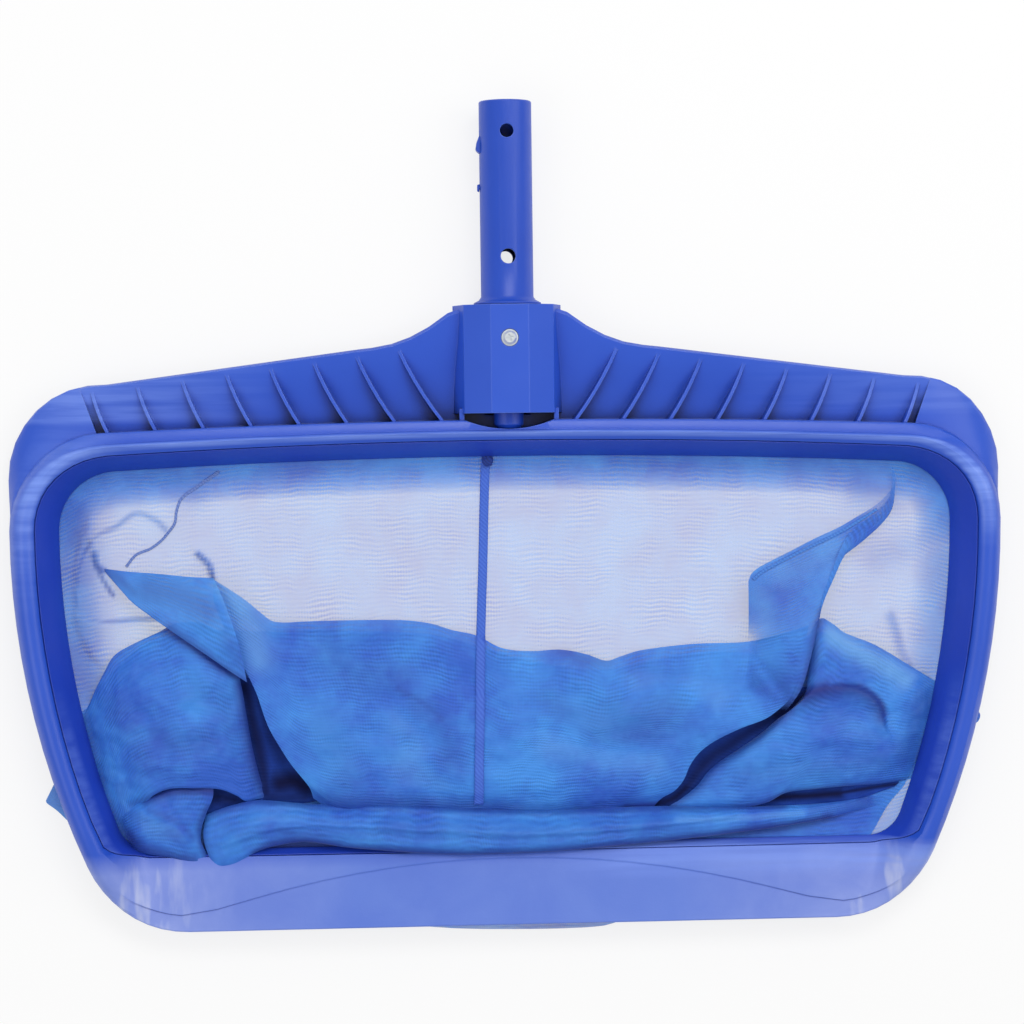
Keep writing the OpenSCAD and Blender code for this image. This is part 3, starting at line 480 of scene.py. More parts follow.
def evenly(points, count):
    # count places at equal distances along a line
    line = np.array([list(point) for point in softLine(points)])
    run = np.concatenate([[0], np.cumsum(np.linalg.norm(np.diff(line, axis=0), axis=1))])
    want = np.linspace(0, run[-1], count)
    return np.stack([np.interp(want, run, line[:, axis]) for axis in range(3)], axis=1)


def nearLine(places, line):
    # distance to a line in plan, and which side of it a place lies on
    best = np.full(len(places), 1e9)
    side = np.zeros(len(places))
    for a, b in zip(line, line[1:]):
        a, b = np.array(a[:2], float), np.array(b[:2], float)
        run = b - a
        t = np.clip(((places - a) @ run) / max(run @ run, 1e-9), 0, 1)
        away = places - (a + t[:, None] * run)
        far = np.linalg.norm(away, axis=1)
        sign = np.sign(run[0] * away[:, 1] - run[1] * away[:, 0])
        closer = far < best
        best = np.where(closer, far, best)
        side = np.where(closer, sign, side)
    return best, side


def mark(points, width, amount, steep=None, side=1):
    # a line drawn on the cloth, with how much it gives there: a height, a share or a number of layers. It
    # falls off over its width, and over "steep" on its right, or on its left where side is -1
    return {"line": softLine([point + (0,) for point in points], 5), "width": width, "amount": amount,
            "steep": steep or width, "side": side}


def fallOff(places, one):
    # how much each place takes from one mark
    far, side = nearLine(places, one["line"])
    wide = np.where(side * one["side"] > 0, one["width"], one["steep"])
    return one["amount"] * np.exp(-(far / wide) ** 2)


def alongLines(places, marks):
    # the most that each place takes from any of the marks
    total = np.zeros(len(places))
    for one in marks:
        total = np.maximum(total, fallOff(places, one))
    return total


clothSettings = {
    "borderPoints": 241, "lengthPoints": 60,
    "lowest": 0.35,                         # nothing lies lower over the floor
    "calmEdge": 0.08, "calmShare": 0.15,    # wrinkles fade to this share near the borders
    "across": 1.6,                          # wrinkles run this much closer along Y
    "rayHeight": 100.0,                     # from where rays look down for the cloth
    "leastSide": 20.0, "leastShare": 0.31,  # of a flat sheet, and how much of it shows at the least
}

# what a sheet takes where its own dictionary doesn't say
plainSheet = {
    "crown": 0.0, "crownPower": 0.6,        # how high its middle stands, and lower is fuller
    "wrinkle": (0.0, 30.0), "seed": 0.0,    # height and length of its soft wrinkles
    "layers": 2.0,                          # how many layers of net it stands for
    "edgeLayers": None,                     # how many at its top border, and how far in until it has them all
    "folds": (), "shades": (), "lights": (), "thin": (),
}


def clothSheet(name, settings, finish=meshBlue):
    # a sheet filled in between four border lines, then raised by its crown, its folds and soft wrinkles
    own = {**plainSheet, **settings}
    across, along = own["cells"]
    bpy.ops.mesh.primitive_grid_add(x_subdivisions=across, y_subdivisions=along, size=2, location=(0, 0, 0))
    item = newPiece(name)
    data = item.data
    flat = readPlaces(item)
    u, w = (flat[:, 0] + 1) / 2, (flat[:, 1] + 1) / 2
    fine = clothSettings["borderPoints"]
    top, bottom = evenly(own["top"], fine), evenly(own["bottom"], fine)
    left = evenly([own["bottom"][0]] + own["left"] + [own["top"][0]], fine)
    right = evenly([own["bottom"][-1]] + own["right"] + [own["top"][-1]], fine)
    share = np.linspace(0, 1, fine)

    def on(line, t):
        return np.stack([np.interp(t, share, line[:, axis]) for axis in range(3)], axis=1)

    def lengthOf(line):
        steps = np.diff(on(line, np.linspace(0, 1, clothSettings["lengthPoints"])), axis=0)
        return np.linalg.norm(steps, axis=1).sum()

    uu, ww = u[:, None], w[:, None]
    place = ((1 - ww) * on(bottom, u) + ww * on(top, u) + (1 - uu) * on(left, w) + uu * on(right, w)
             - (1 - uu) * (1 - ww) * bottom[0] - uu * (1 - ww) * bottom[-1]
             - (1 - uu) * ww * top[0] - uu * ww * top[-1])
    rise = (np.clip(4 * u * (1 - u), 0, 1) * np.clip(4 * w * (1 - w), 0, 1)) ** own["crownPower"]
    height = own["crown"] * rise
    for fold in own["folds"]:
        height = height + fallOff(place[:, :2], fold)
    size, length = own["wrinkle"]
    if size:
        inside = np.minimum(np.minimum(u, 1 - u), np.minimum(w, 1 - w))
        calm = np.clip(inside / clothSettings["calmEdge"], clothSettings["calmShare"], 1)
        wave = np.array([noise.fractal(Vector((p[0] / length, p[1] / length * clothSettings["across"],
                                               own["seed"])), 0.9, 2.1, 4) for p in place])
        height = height + size * wave * calm
    place[:, 2] = np.maximum(place[:, 2] + height, clothSettings["lowest"])
    writePlaces(item, place * mm)

    # UV in metres along the cloth, so that the knit keeps its size
    wide, deep = lengthOf((top + bottom) / 2), lengthOf((left + right) / 2)
    for layer in list(data.uv_layers):
        data.uv_layers.remove(layer)
    made = data.uv_layers.new(name="cloth")
    corner = np.zeros(len(data.loops), int)
    data.loops.foreach_get("vertex_index", corner)
    made.data.foreach_set("uv", np.stack([u[corner] * wide * mm, w[corner] * deep * mm], axis=1).ravel())

    thick = np.full(len(place), float(own["layers"]))
    if own["edgeLayers"]:
        # fewer layers near the top border, where the fold begins
        number, reach = own["edgeLayers"]
        thick = own["layers"] + (number - own["layers"]) * np.clip(1 - (1 - w) * deep / reach, 0, 1)
    thick = thick * (1 - alongLines(place[:, :2], own["thin"]))
    # painted shade along the shade marks, painted light along the light marks
    tones = alongLines(place[:, :2], own["shades"]) - alongLines(place[:, :2], own["lights"])
    for label, values in (("layerCount", thick), ("paintedShadeAndLight", tones)):
        data.attributes.new(label, 'FLOAT', 'POINT').data.foreach_set("value", values)
    data.materials.append(finish)
    return item


def groundUnder(pieces):
    # gives a function for how high the highest of these pieces lies at a place, in metres
    trees = [BVHTree.FromPolygons([vertex.co for vertex in piece.data.vertices],
                                  [face.vertices for face in piece.data.polygons]) for piece in pieces]

    def groundAt(x, y):
        start = Vector((x, y, clothSettings["rayHeight"] * mm))
        hits = [tree.ray_cast(start, Vector((0, 0, -1)))[0] for tree in trees]
        return max((hit.z for hit in hits if hit), default=None)

    return groundAt


def settle(item, under, lift=0.6, down=()):
    # keeps a fold above the pieces that it lies on, and lays it right down on them along marked lines
    groundAt = groundUnder(under)
    place = readPlaces(item)
    held = alongLines(place[:, :2] / mm, down)
    for i, (x, y, z) in enumerate(place):
        ground = groundAt(x, y)
        if ground is not None:
            ground += lift * mm
            place[i, 2] = max(z, ground) * (1 - held[i]) + ground * held[i]
    writePlaces(item, place)


def layCloth(item):
    # works out the size of the sheet's own cut, which nothing here uses, and attaches the sheet to the net
    # body
    size = item.dimensions
    leastSide, leastShare = clothSettings["leastSide"] * mm, clothSettings["leastShare"]
    wide, deep = max(size.x, leastSide), max(size.y, leastSide)
    area = sum(face.area for face in item.data.polygons)
    grow = max(1.0, math.sqrt(area / (wide * deep)))
    wide, deep = wide * grow, deep * grow
    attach(item, "net")


bagFloorSettings = {
    "cells": (290, 150),
    "tuck": 1.6, "middle": (0, -60),        # how far it reaches under the ring, away from this middle
    "hemZ": 3.9, "floorZ": 1.0, "slopeWidth": 10.0,     # it falls from the hem to the floor over this width
    "hemLayers": 6.3, "hemReach": 21.0,     # the gathered hem shows more layers along the top, which also paints in the shade under the rim
    "hemFrom": -30, "hemRise": 40, "hemLeast": 0.25,    # and from here on up, with the least share below
    "waveLengths": (42, 30), "waveHeight": 0.7, "seed": 4.2,
    "creaseShade": 0.14, "darkest": 0.5,    # shade for each layer in a crease, up to the darkest
    "topCorner": 8, "lowCorner": 16,        # which of the border's points are its corners
    # the right half, from the top round to the lip; the left half mirrors it
    "border": [(0, 33.4), (42.9, 33.1), (85.9, 32.5), (128.8, 31.4), (171.7, 29.8), (214.6, 27.8),
               (224.0, 25.9), (232.3, 21.2), (235.8, 18.0), (241.3, 10.2), (244.5, -3.6), (243.5, -33.8),
               (240.6, -63.8), (235.8, -93.5), (229.1, -122.9), (220.5, -151.8), (215.5, -166.1),
               (211.3, -172.9), (204.7, -177.5), (196.8, -179.2), (131.2, -179.2), (65.6, -179.2),
               (0, -179.2)],
    # creases in the single layer: more layers lie along these lines, with painted shade on them
    "creases": [
        mark([(-225.9, -16.9), (-224.8, -23.1), (-221.7, -26.3)], 2.0, 3.5),
        mark([(-236.3, -46.7), (-234.8, -28), (-231.5, -16.8), (-228.3, -11.8)], 1.5, 2.4),
        mark([(-231.5, -52.5), (-220.3, -53.9), (-201.6, -53), (-191.7, -52.5)], 1.2, 1.6),
        mark([(-233.9, -51.8), (-232.8, -59.3), (-229.3, -69.4), (-230.7, -79.4)], 2.6, 1.8),
        mark([(-224.8, -25.7), (-216.3, -39.6)], 1.3, 2.2),
        mark([(-169.9, -17.7), (-163.7, -24.1), (-162, -31.6)], 1.3, 3.0),
        mark([(-234.1, -18.3), (-232.1, -7.5), (-228.4, -2.1)], 1.4, 1.6),
        mark([(-226.8, -14.8), (-224.9, -7.6), (-214, -2.3), (-203, 4.8), (-192.3, 1),
              (-186.9, -4.5)], 1.4, 1.2),
        mark([(-226, 6), (-212, 18), (-190, 22), (-172, 16)], 8, 0.7),
        mark([(-240, 4), (-238, -20), (-236, -60), (-230, -95)], 14, 1.7),
        mark([(-242, 6), (-238, 18), (-226, 26)], 12, 1.2),
        mark([(240, -30), (238, -62), (232, -92)], 12, 0.5),
        mark([(211.5, -58.2), (214.7, -68), (217.9, -79.4), (222.8, -87.7)], 2.6, 1.0),
        mark([(241.5, -6.6), (228.3, -17.8), (203.6, -25.5)], 9, 0.35),
        mark([(196, 12), (212.1, 11.7), (220.4, 19.7), (230.3, 26.1)], 9, 0.9),
    ],
    "folds": [
        mark([(-222, 2), (-210, 8), (-196, 9), (-184, 3)], 12, 4.0),
        mark([(-230.6, -4.1), (-234.7, -20.6), (-236, -42.5), (-234, -60), (-227, -73)], 7, 2.2, steep=1.6),
        mark([(-227.4, -12.4), (-226, -18), (-222, -27), (-216, -38)], 6, 3.2, steep=1.3),
        mark([(-232, -52), (-224, -55), (-213, -55), (-199, -52)], 6, 2.4, steep=1.5, side=-1),
        mark([(-180, 24), (-205, 22), (-221, 12), (-228, -6)], 8, 2.2, steep=2.5, side=-1),
        mark([(-171, -17), (-166, -22), (-161, -31)], 4, 3.0, steep=1.4),
        mark([(222, 8), (205, 2), (196, -16), (190, -40), (182, -60)], 14, 3.0),
        mark([(212, -58), (216, -70), (221, -84)], 7, 2.4, steep=1.5, side=-1),
        mark([(-120, 20), (-60, 10), (0, 14)], 14, 1.0),
        mark([(40, 0), (110, -12), (150, -4)], 14, 1.0),
    ],
}


def borderPoint(i, sign):
    # a point of the border, moved out under the ring's edge
    x, y = bagFloorSettings["border"][i]
    middleX, middleY = bagFloorSettings["middle"]
    out = Vector((x - middleX, y - middleY, 0)).normalized() * bagFloorSettings["tuck"]
    return (sign * (x + out.x), y + out.y, bagFloorSettings["hemZ"])


def makeBagFloor():
    own = bagFloorSettings
    right, left = [[borderPoint(i, sign) for i in range(len(own["border"]))] for sign in (1, -1)]
    top, low = own["topCorner"], own["lowCorner"]
    item = clothSheet("bagFloor", {
        "cells": own["cells"], "layers": 1.0,
        "top": left[top:0:-1] + right[:top + 1], "bottom": left[low + 1:-1] + right[:low:-1],
        "left": left[low:top:-1], "right": right[low:top:-1]})
    data = item.data
    place = readPlaces(item) / mm
    far, _ = nearLine(place[:, :2], right + left[::-1])
    sunk = np.clip(far / own["slopeWidth"], 0, 1)
    sunk = sunk * sunk * (3 - 2 * sunk)
    z = own["hemZ"] + (own["floorZ"] - own["hemZ"]) * sunk
    for fold in own["folds"]:
        z = z + fallOff(place[:, :2], fold) * sunk
    waveX, waveY = own["waveLengths"]
    soft = np.array([noise.fractal(Vector((p[0] / waveX, p[1] / waveY, own["seed"])), 1.0, 2.0, 3)
                     for p in place])
    place[:, 2] = np.maximum(z + own["waveHeight"] * soft * sunk, clothSettings["lowest"])
    writePlaces(item, place * mm)
    upward = np.clip((place[:, 1] - own["hemFrom"]) / own["hemRise"], own["hemLeast"], 1)
    fall = np.clip(1 - far / own["hemReach"], 0, 1) * upward
    gathered = alongLines(place[:, :2], own["creases"])
    data.attributes["layerCount"].data.foreach_set("value", 1 + (own["hemLayers"] - 1) * fall + gathered)
    data.attributes["paintedShadeAndLight"].data.foreach_set("value", np.clip(gathered * own["creaseShade"], 0,
                                                                   own["darkest"]))
    return item


bagFloor = makeBagFloor()
print("bag floor made")


bagMiddleSettings = {
    "cells": (170, 62), "crown": 3.0, "wrinkle": (1.7, 24.0), "seed": 1.3,
    "layers": 6.0, "edgeLayers": (4.6, 5.0),
    "top": [(-161.5, -31, 13), (-151, -38, 12), (-143.5, -43.5, 10.5), (-136, -50, 8.5), (-129, -55, 6),
            (-112, -55.5, 4), (-92, -55.3, 3), (-59, -55.8, 2.6), (-43, -58, 2.6), (-32, -61.6, 2.6),
            (-18, -65, 2.6), (-4.6, -72, 2.6), (12, -74, 2.6), (28, -73.4, 2.6), (42, -76.2, 2.6),
            (53, -80, 2.6), (61, -77.7, 2.6), (72, -74.6, 2.6), (99.5, -71.7, 3), (130, -70.6, 5),
            (148, -67, 8), (164.5, -62, 9)],
    "right": [(81.8, -156.6, 7), (89, -152, 10), (94, -145.5, 13), (97.4, -137.3, 14), (103, -129.7, 14),
              (111.3, -123.8, 14.5), (125.2, -117.5, 15), (139.1, -112.6, 15), (147.4, -106.9, 15),
              (153, -101.5, 14.5), (157.4, -92, 13), (161.4, -78, 11)],
    "bottom": [(-109, -152, 7), (-95, -162, 4), (-60, -166, 3), (0, -168, 3), (50, -168, 3), (74, -166, 4)],
    "left": [(-110, -148, 9), (-111.7, -144.3, 12), (-120.2, -133.2, 14), (-125.5, -124.9, 14.5),
             (-133, -111.1, 14.5), (-139.5, -92, 13.5), (-153, -64, 11.5), (-161, -44, 11.5)],
    "folds": [
        mark([(-125, -60), (-118, -90), (-105, -125), (-90, -150)], 16, 3.5),
        mark([(-90, -64), (-40, -70), (20, -84), (90, -84)], 12, 1.6),
        mark([(-60, -100), (0, -112), (60, -108)], 16, 1.6),
        mark([(-70, -135), (-10, -140), (60, -136)], 12, 1.2),
        mark([(131, -62), (129, -80), (122, -100), (105, -125)], 14, 3.0),
        mark([(30, -80), (50, -100), (80, -112), (110, -108)], 9, 1.4),
    ],
    "shades": [
        mark([(-112, -155), (-80, -156.5), (-50.7, -157.7), (-13, -161), (19.8, -163), (45.1, -163.5),
              (66, -162)], 6.5, 0.55),
        mark([(47.6, -113.6), (69.1, -114), (88.2, -101.8)], 15, 0.3),
        mark([(-50.2, -105.5), (-40.4, -118.2), (-35.6, -134.6)], 10, 0.28),
        mark([(-100, -72), (-86, -84), (-60, -86)], 9, 0.22),
        mark([(20, -100), (34, -108), (60, -104)], 7, 0.25),
        mark([(-62, -93), (-48, -101), (-38, -110)], 2, 0.4),
        mark([(27, -72), (40, -79), (53, -80)], 4, 0.3),
        mark([(-104, -112), (-96, -126), (-90, -142)], 11, 0.22),
        mark([(62, -160.6), (70, -160.4), (83, -160)], 2.6, 1.0),
    ],
    "lights": [
        mark([(-157, -35), (-148, -46), (-142, -58), (-137, -75)], 8, 0.45),
        mark([(-60, -112), (-44, -122), (-60, -134), (-40, -142)], 9, 0.22),
        mark([(70, -92), (92, -92), (112, -100)], 8, 0.25),
        mark([(20, -126), (50, -132), (78, -136)], 8, 0.22),
    ],
    "thin": [mark([(-158, -33), (-146, -44), (-136, -55)], 7, 0.2)],
}

leftFlapSettings = {
    "cells": (64, 40), "crown": 1.6, "wrinkle": (0.7, 18.0), "seed": 2.9, "layers": 5.2,
    "top": [(-220.5, -25.0, 4.5), (-208, -26.6, 7), (-190, -28.0, 11), (-175, -29.6, 14), (-161, -30.3, 17)],
    "right": [(-147, -70, 17), (-151, -56, 17.5), (-156, -42, 17.5)],
    "bottom": [(-219.8, -27.2, 4.5), (-212, -36, 8), (-205, -43.5, 11), (-195, -51, 14), (-184.7, -58.3, 17),
               (-165.8, -71.6, 18), (-155, -79.5, 17.5), (-143.8, -87.4, 16)],
    "left": [(-220.4, -26.0, 4.5)],
    "folds": [mark([(-200, -34), (-175, -46), (-155, -66)], 6, 1.0)],
    "shades": [
        mark([(-185, -57.6), (-170.3, -68.4), (-158, -78), (-143.8, -88)], 3.2, 0.55),
        mark([(-154, -62), (-146, -76)], 7, 0.25),
        mark([(-196, -36), (-178, -40), (-164, -48)], 8, 0.38),
        mark([(-221, -25), (-212, -31), (-204, -38)], 3, 0.3),
    ],
    "lights": [mark([(-158, -34), (-150, -48), (-145, -60)], 5, 0.5)],
}

leftBlobSettings = {
    "cells": (76, 76), "crown": 7.0, "crownPower": 0.5, "wrinkle": (1.8, 18.0), "seed": 7.7,
    "layers": 6.5, "edgeLayers": (4.5, 5.0),
    "top": [(-237, -104, 2.4), (-231.5, -101, 2.6), (-227, -91.8, 3), (-221.9, -82, 3.2), (-216, -72.5, 3.4),
            (-205, -66, 4.5), (-191.4, -59.8, 6.5), (-181.5, -55, 8), (-166, -56, 9), (-152, -66, 10)],
    "right": [(-136.4, -146, 3), (-139, -136, 5), (-141.9, -122.3, 7), (-144.8, -104.2, 8), (-147, -90, 9)],
    "bottom": [(-206, -180, 2.2), (-203, -170, 4), (-201.5, -158, 7.5), (-196.4, -149, 12),
               (-186.4, -144.6, 14), (-171.5, -144.4, 14), (-159.1, -145.8, 12), (-150.4, -149.8, 9.5),
               (-145.5, -153, 7), (-135, -151.5, 3)],
    "left": [(-214, -173, 2.2), (-224, -150, 2.2), (-231, -126, 2.2)],
    "folds": [
        mark([(-205, -84), (-190, -100), (-178, -128), (-176, -144)], 9, 1.8),
        mark([(-215, -105), (-200, -125), (-196, -148)], 7, 1.4),
        mark([(-165, -80), (-160, -105), (-158, -130)], 8, 1.6),
        mark([(-206, -136), (-192, -132), (-176, -133), (-160, -138)], 5, 1.2),
    ],
    "shades": [
        mark([(-188, -56), (-170.3, -69), (-158, -79), (-145.7, -86), (-140, -96)], 5.5, 0.85, steep=3),
        mark([(-146, -90), (-143.8, -104.2), (-141, -122.3), (-138, -138), (-133.1, -150)], 5, 0.9),
        mark([(-228, -138), (-224.2, -144.6), (-215.8, -163.6), (-205, -176)], 6, 0.5),
        mark([(-234, -106), (-230, -122), (-224, -142)], 6, 0.4),
        mark([(-208.8, -153.5), (-196.4, -149), (-186.4, -145.4)], 2.2, 0.5),
        mark([(-192, -116), (-180, -120), (-166, -118)], 9, 0.25),
        mark([(-216, -100), (-205, -112), (-198, -128)], 8, 0.22),
        mark([(-172, -92), (-158, -98), (-152, -112)], 9, 0.16),
    ],
    "lights": [mark([(-216, -146), (-210, -158)], 5, 0.25)],
}

knotSettings = {
    "cells": (44, 30), "crown": 5.0, "wrinkle": (1.1, 12.0), "seed": 9.1, "layers": 6.0,
    "top": [(-213, -160, 7), (-203, -152, 10), (-190, -146, 12), (-177, -143.2, 12.5), (-163, -143.8, 12)],
    "right": [(-166.5, -184, 8), (-170.5, -172, 9), (-167.2, -159, 10.5), (-163.4, -150, 11.5)],
    "bottom": [(-207.5, -179, 6), (-197.8, -180.8, 9.6), (-188, -182.4, 9.8), (-178, -185, 9.8),
               (-167.5, -187, 9.6)],
    "left": [(-211.5, -169, 7.5)],
    "folds": [
        mark([(-200, -158), (-185, -164), (-172, -176)], 5, 2.0),
        mark([(-190, -148), (-184, -160), (-172, -170)], 3, -1.5),
    ],
    "shades": [
        mark([(-200, -150.4), (-191.9, -147.4), (-183.8, -145.4), (-167.6, -145.6),
              (-158, -147.6)], 3.4, 0.9),
        mark([(-166.8, -156), (-170.7, -167.5), (-167.2, -184)], 2.4, 0.7),
        mark([(-209, -170), (-203.5, -177), (-190, -181.5), (-175, -185)], 4, 0.7),
        mark([(-198, -156), (-184, -162), (-174, -172)], 2, 0.35),
    ],
    "lights": [mark([(-203, -160), (-192, -167), (-182, -168)], 6, 0.2)],
    "thin": [mark([(-216, -158), (-213, -169), (-209, -180)], 7.5, 0.98)],
}

frontRollSettings = {
    "cells": (190, 28), "crown": 8.5, "crownPower": 0.5, "wrinkle": (1.0, 16.0), "seed": 8.8, "layers": 6.5,
    "top": [(-168, -160.5, 6), (-162.6, -158, 7), (-150.5, -154.4, 7), (-138.6, -152.6, 7),
            (-110.3, -155.2, 7), (-63.3, -156.5, 7), (-23.3, -159.5, 7), (15.2, -161.4, 7), (64.9, -160.4, 7),
            (103.7, -160.9, 6.5), (136.8, -161.6, 6), (159.1, -161.5, 5.5), (175.8, -160.7, 5),
            (192.6, -158.9, 4), (206, -157, 3.4)],
    "right": [(208, -160, 3)],
    "bottom": [(-162, -188.6, 9.8), (-157, -188.2, 9.8), (-151.1, -186.6, 9.8), (-142, -181.5, 9.6),
               (-132.5, -178.2, 9.4), (-113.9, -175.9, 9), (-92, -179.1, 9.8), (-80.6, -180.4, 10),
               (-38.4, -184.1, 10.2), (15, -184.2, 10.2), (54.8, -181.7, 10), (105.8, -177.8, 8),
               (134.2, -175.1, 6), (153.3, -172.9, 5), (175.5, -169.5, 4.4), (193, -165.4, 3.6),
               (206, -162.4, 3)],
    "left": [(-166, -183, 9.5), (-169, -172, 9)],
    "folds": [
        mark([(-160, -176), (-120, -166), (-60, -169), (0, -173), (60, -171),
              (120, -166)], 3.2, 1.6, steep=1.2),
        mark([(-150, -160), (-100, -158), (-40, -163), (20, -165), (90, -163)], 2.4, -1.3),
        mark([(-158, -182), (-150, -170), (-135, -160)], 5, 2.0),
        mark([(-80, -176), (0, -179.5), (60, -177)], 2.6, 1.2),
    ],
    "shades": [
        mark([(-164, -159), (-150.5, -154.6), (-138.6, -153), (-110.3, -155.6), (-63.3, -157), (-23.3, -160),
              (15.2, -162), (64.9, -161.4), (103.7, -161.6), (150, -162)], 2.2, 0.55),
        mark([(-92, -179.1), (-60, -181.6), (-25.9, -183.8), (24.6, -183), (62.6, -180), (100.8, -177),
              (134.2, -174), (153.3, -172), (175.5, -168.5)], 3.0, 0.75),
        mark([(-140, -181), (-128, -176), (-112, -175), (-95, -178)], 3.4, 0.75),
        mark([(-169, -160), (-170.5, -170), (-167, -184)], 2.6, 0.6),
        mark([(-128, -168), (-118, -171), (-104, -172)], 3, 0.35),
        mark([(-150, -168), (-60, -170), (20, -173), (110, -170), (190, -163)], 9, 0.17),
    ],
    "lights": [
        mark([(90, -167), (120, -167.5), (160, -165.5)], 2.6, 0.4),
        mark([(-150, -164), (-130, -162), (-105, -164), (-80, -166)], 3.4, 0.2),
    ],
    # to the right the roll flattens into the layers under it
    "thin": [mark([(208, -152), (206, -172)], 22, 0.97)],
    "down": [mark([(210, -152), (208, -172)], 26, 1.0)],
}

rightFlapSettings = {
    "cells": (80, 60), "crown": 1.4, "wrinkle": (0.7, 18.0), "seed": 3.3, "layers": 4.6,
    "top": [(130.8, -37, 13), (132.4, -33, 13), (137.3, -29, 13), (153.6, -21.2, 12), (170, -13.4, 10),
            (181.5, -8.4, 9), (192.9, -2.2, 8), (202.4, 3.3, 7), (210.2, 10.2, 5.6), (214.4, 17, 4.8),
            (212.6, 25, 4.4)],
    "right": [(150, -108.5, 16.5), (158.6, -97, 16.5), (163.6, -82.5, 16), (168.7, -61.6, 14.5),
              (170.9, -49, 13.5), (174.4, -38.6, 13), (178.6, -28.6, 12.2), (182.6, -19.4, 11.2),
              (187, -12.2, 10), (194.4, -6.2, 8.6), (203, 0.2, 7.2), (210.8, 8.4, 6)],
    "bottom": [(127, -96, 10), (134, -101, 12.5), (141, -105, 14.5), (148, -108, 16)],
    "left": [(129.6, -85, 9), (130.9, -73.6, 8), (131.2, -55, 10)],
    "folds": [
        mark([(140, -30), (150, -55), (152, -85)], 8, 1.2),
        mark([(165, -18), (163, -45), (158, -80)], 6, -0.9),
    ],
    "shades": [
        mark([(171, -55), (168.7, -61.6), (163.6, -82.5), (158.6, -97), (150, -108)], 2.6, 0.6),
        mark([(135, -92), (145, -96), (155, -92)], 12, 0.2),
    ],
    "lights": [
        mark([(150, -32), (168, -24), (178, -18)], 9, 0.25),
        mark([(138, -45), (142, -62)], 6, 0.2),
    ],
    # the flap runs on into the middle fold, so its lower left border fades out
    "thin": [
        mark([(129.6, -70), (128.6, -78), (127, -96), (134, -101), (141, -105), (150, -109)], 11, 0.99),
        mark([(134, -82), (141, -92), (147, -100)], 8, 0.95),
        mark([(203, 3), (209, 12), (215, 26)], 9, 0.75),
    ],
    "down": [mark([(131, -72), (129, -84), (127, -96), (134, -101), (141, -105), (150, -109)], 13, 1.0)],
}

rightTubeSettings = {
    "cells": (70, 60), "crown": 7.0, "crownPower": 0.5, "wrinkle": (1.6, 19.0), "seed": 5.5,
    "layers": 6.0, "edgeLayers": (4.4, 4.0),
    "top": [(164, -68, 10), (171, -58.2, 10), (178, -61.5, 8.5), (184.6, -66.5, 7), (201.5, -73.5, 5.5),
            (221.5, -85.6, 4.2), (237.5, -95.5, 3.6)],
    "right": [(226.5, -137, 2.4), (231, -122, 2.6), (235, -106, 3.2)],
    "bottom": [(84.5, -162.6, 4), (103.6, -163, 6), (125.7, -162.4, 7), (141, -159.6, 7.5),
               (151, -154.6, 7.5), (170.3, -152.6, 7), (187, -151.6, 6), (203.8, -150.8, 5),
               (222.5, -148.8, 2.4)],
    "left": [(88, -160, 5), (92.5, -157.3, 6), (102.6, -149.3, 6), (108.2, -142.2, 6), (116, -135.7, 6),
             (126.1, -129.3, 6.5), (137.2, -121.7, 7), (147.3, -113.1, 7.5), (154, -108.2, 8.5),
             (161, -101, 9), (164, -88, 10)],
    "folds": [
        mark([(150, -104), (160, -98), (175, -96), (189, -97), (199, -103),
              (205, -115)], 9, 3.2, steep=1.6, side=-1),
        mark([(125, -140), (155, -128), (185, -124), (212, -132)], 9, 2.2),
        mark([(130, -150), (165, -143), (205, -141)], 6, 1.6),
        mark([(176, -64), (196, -78), (224, -92)], 5, 1.4),
    ],
    "shades": [
        mark([(88, -161), (92.5, -157.3), (102.6, -149.3), (108.2, -142.2), (116, -135.7), (126.1, -129.3),
              (137.2, -121.7), (147.3, -113.1), (154, -108.2)], 3.0, 0.6),
        mark([(153, -104), (157.2, -101.4), (163.3, -98.7), (172.8, -96.3)], 3.6, 1.0),
        mark([(160, -100), (172.8, -96.2), (183.9, -94.8), (193.3, -96.6), (200.5, -101.3), (204.9, -107),
              (206, -112)], 6.5, 0.9, steep=1.6, side=-1),
        mark([(170.5, -60), (167, -72), (163, -84), (158, -97)], 4.5, 0.65),
        mark([(230, -104), (224, -120), (218, -134)], 9, 0.42),
        mark([(141, -158), (152, -154.4), (175, -152), (203, -150.4), (221, -148.8)], 1.8, 0.5),
        mark([(90, -161.4), (120, -161.6), (139, -160)], 2.0, 0.5),
        mark([(130, -142), (152, -142), (172, -140), (205, -138)], 7, 0.24),
    ],
    "lights": [
        mark([(174, -66), (191.9, -77), (208.1, -86), (218, -93)], 6.5, 0.68),
        mark([(176, -112), (196, -122), (212, -118)], 8, 0.1),
    ],
}

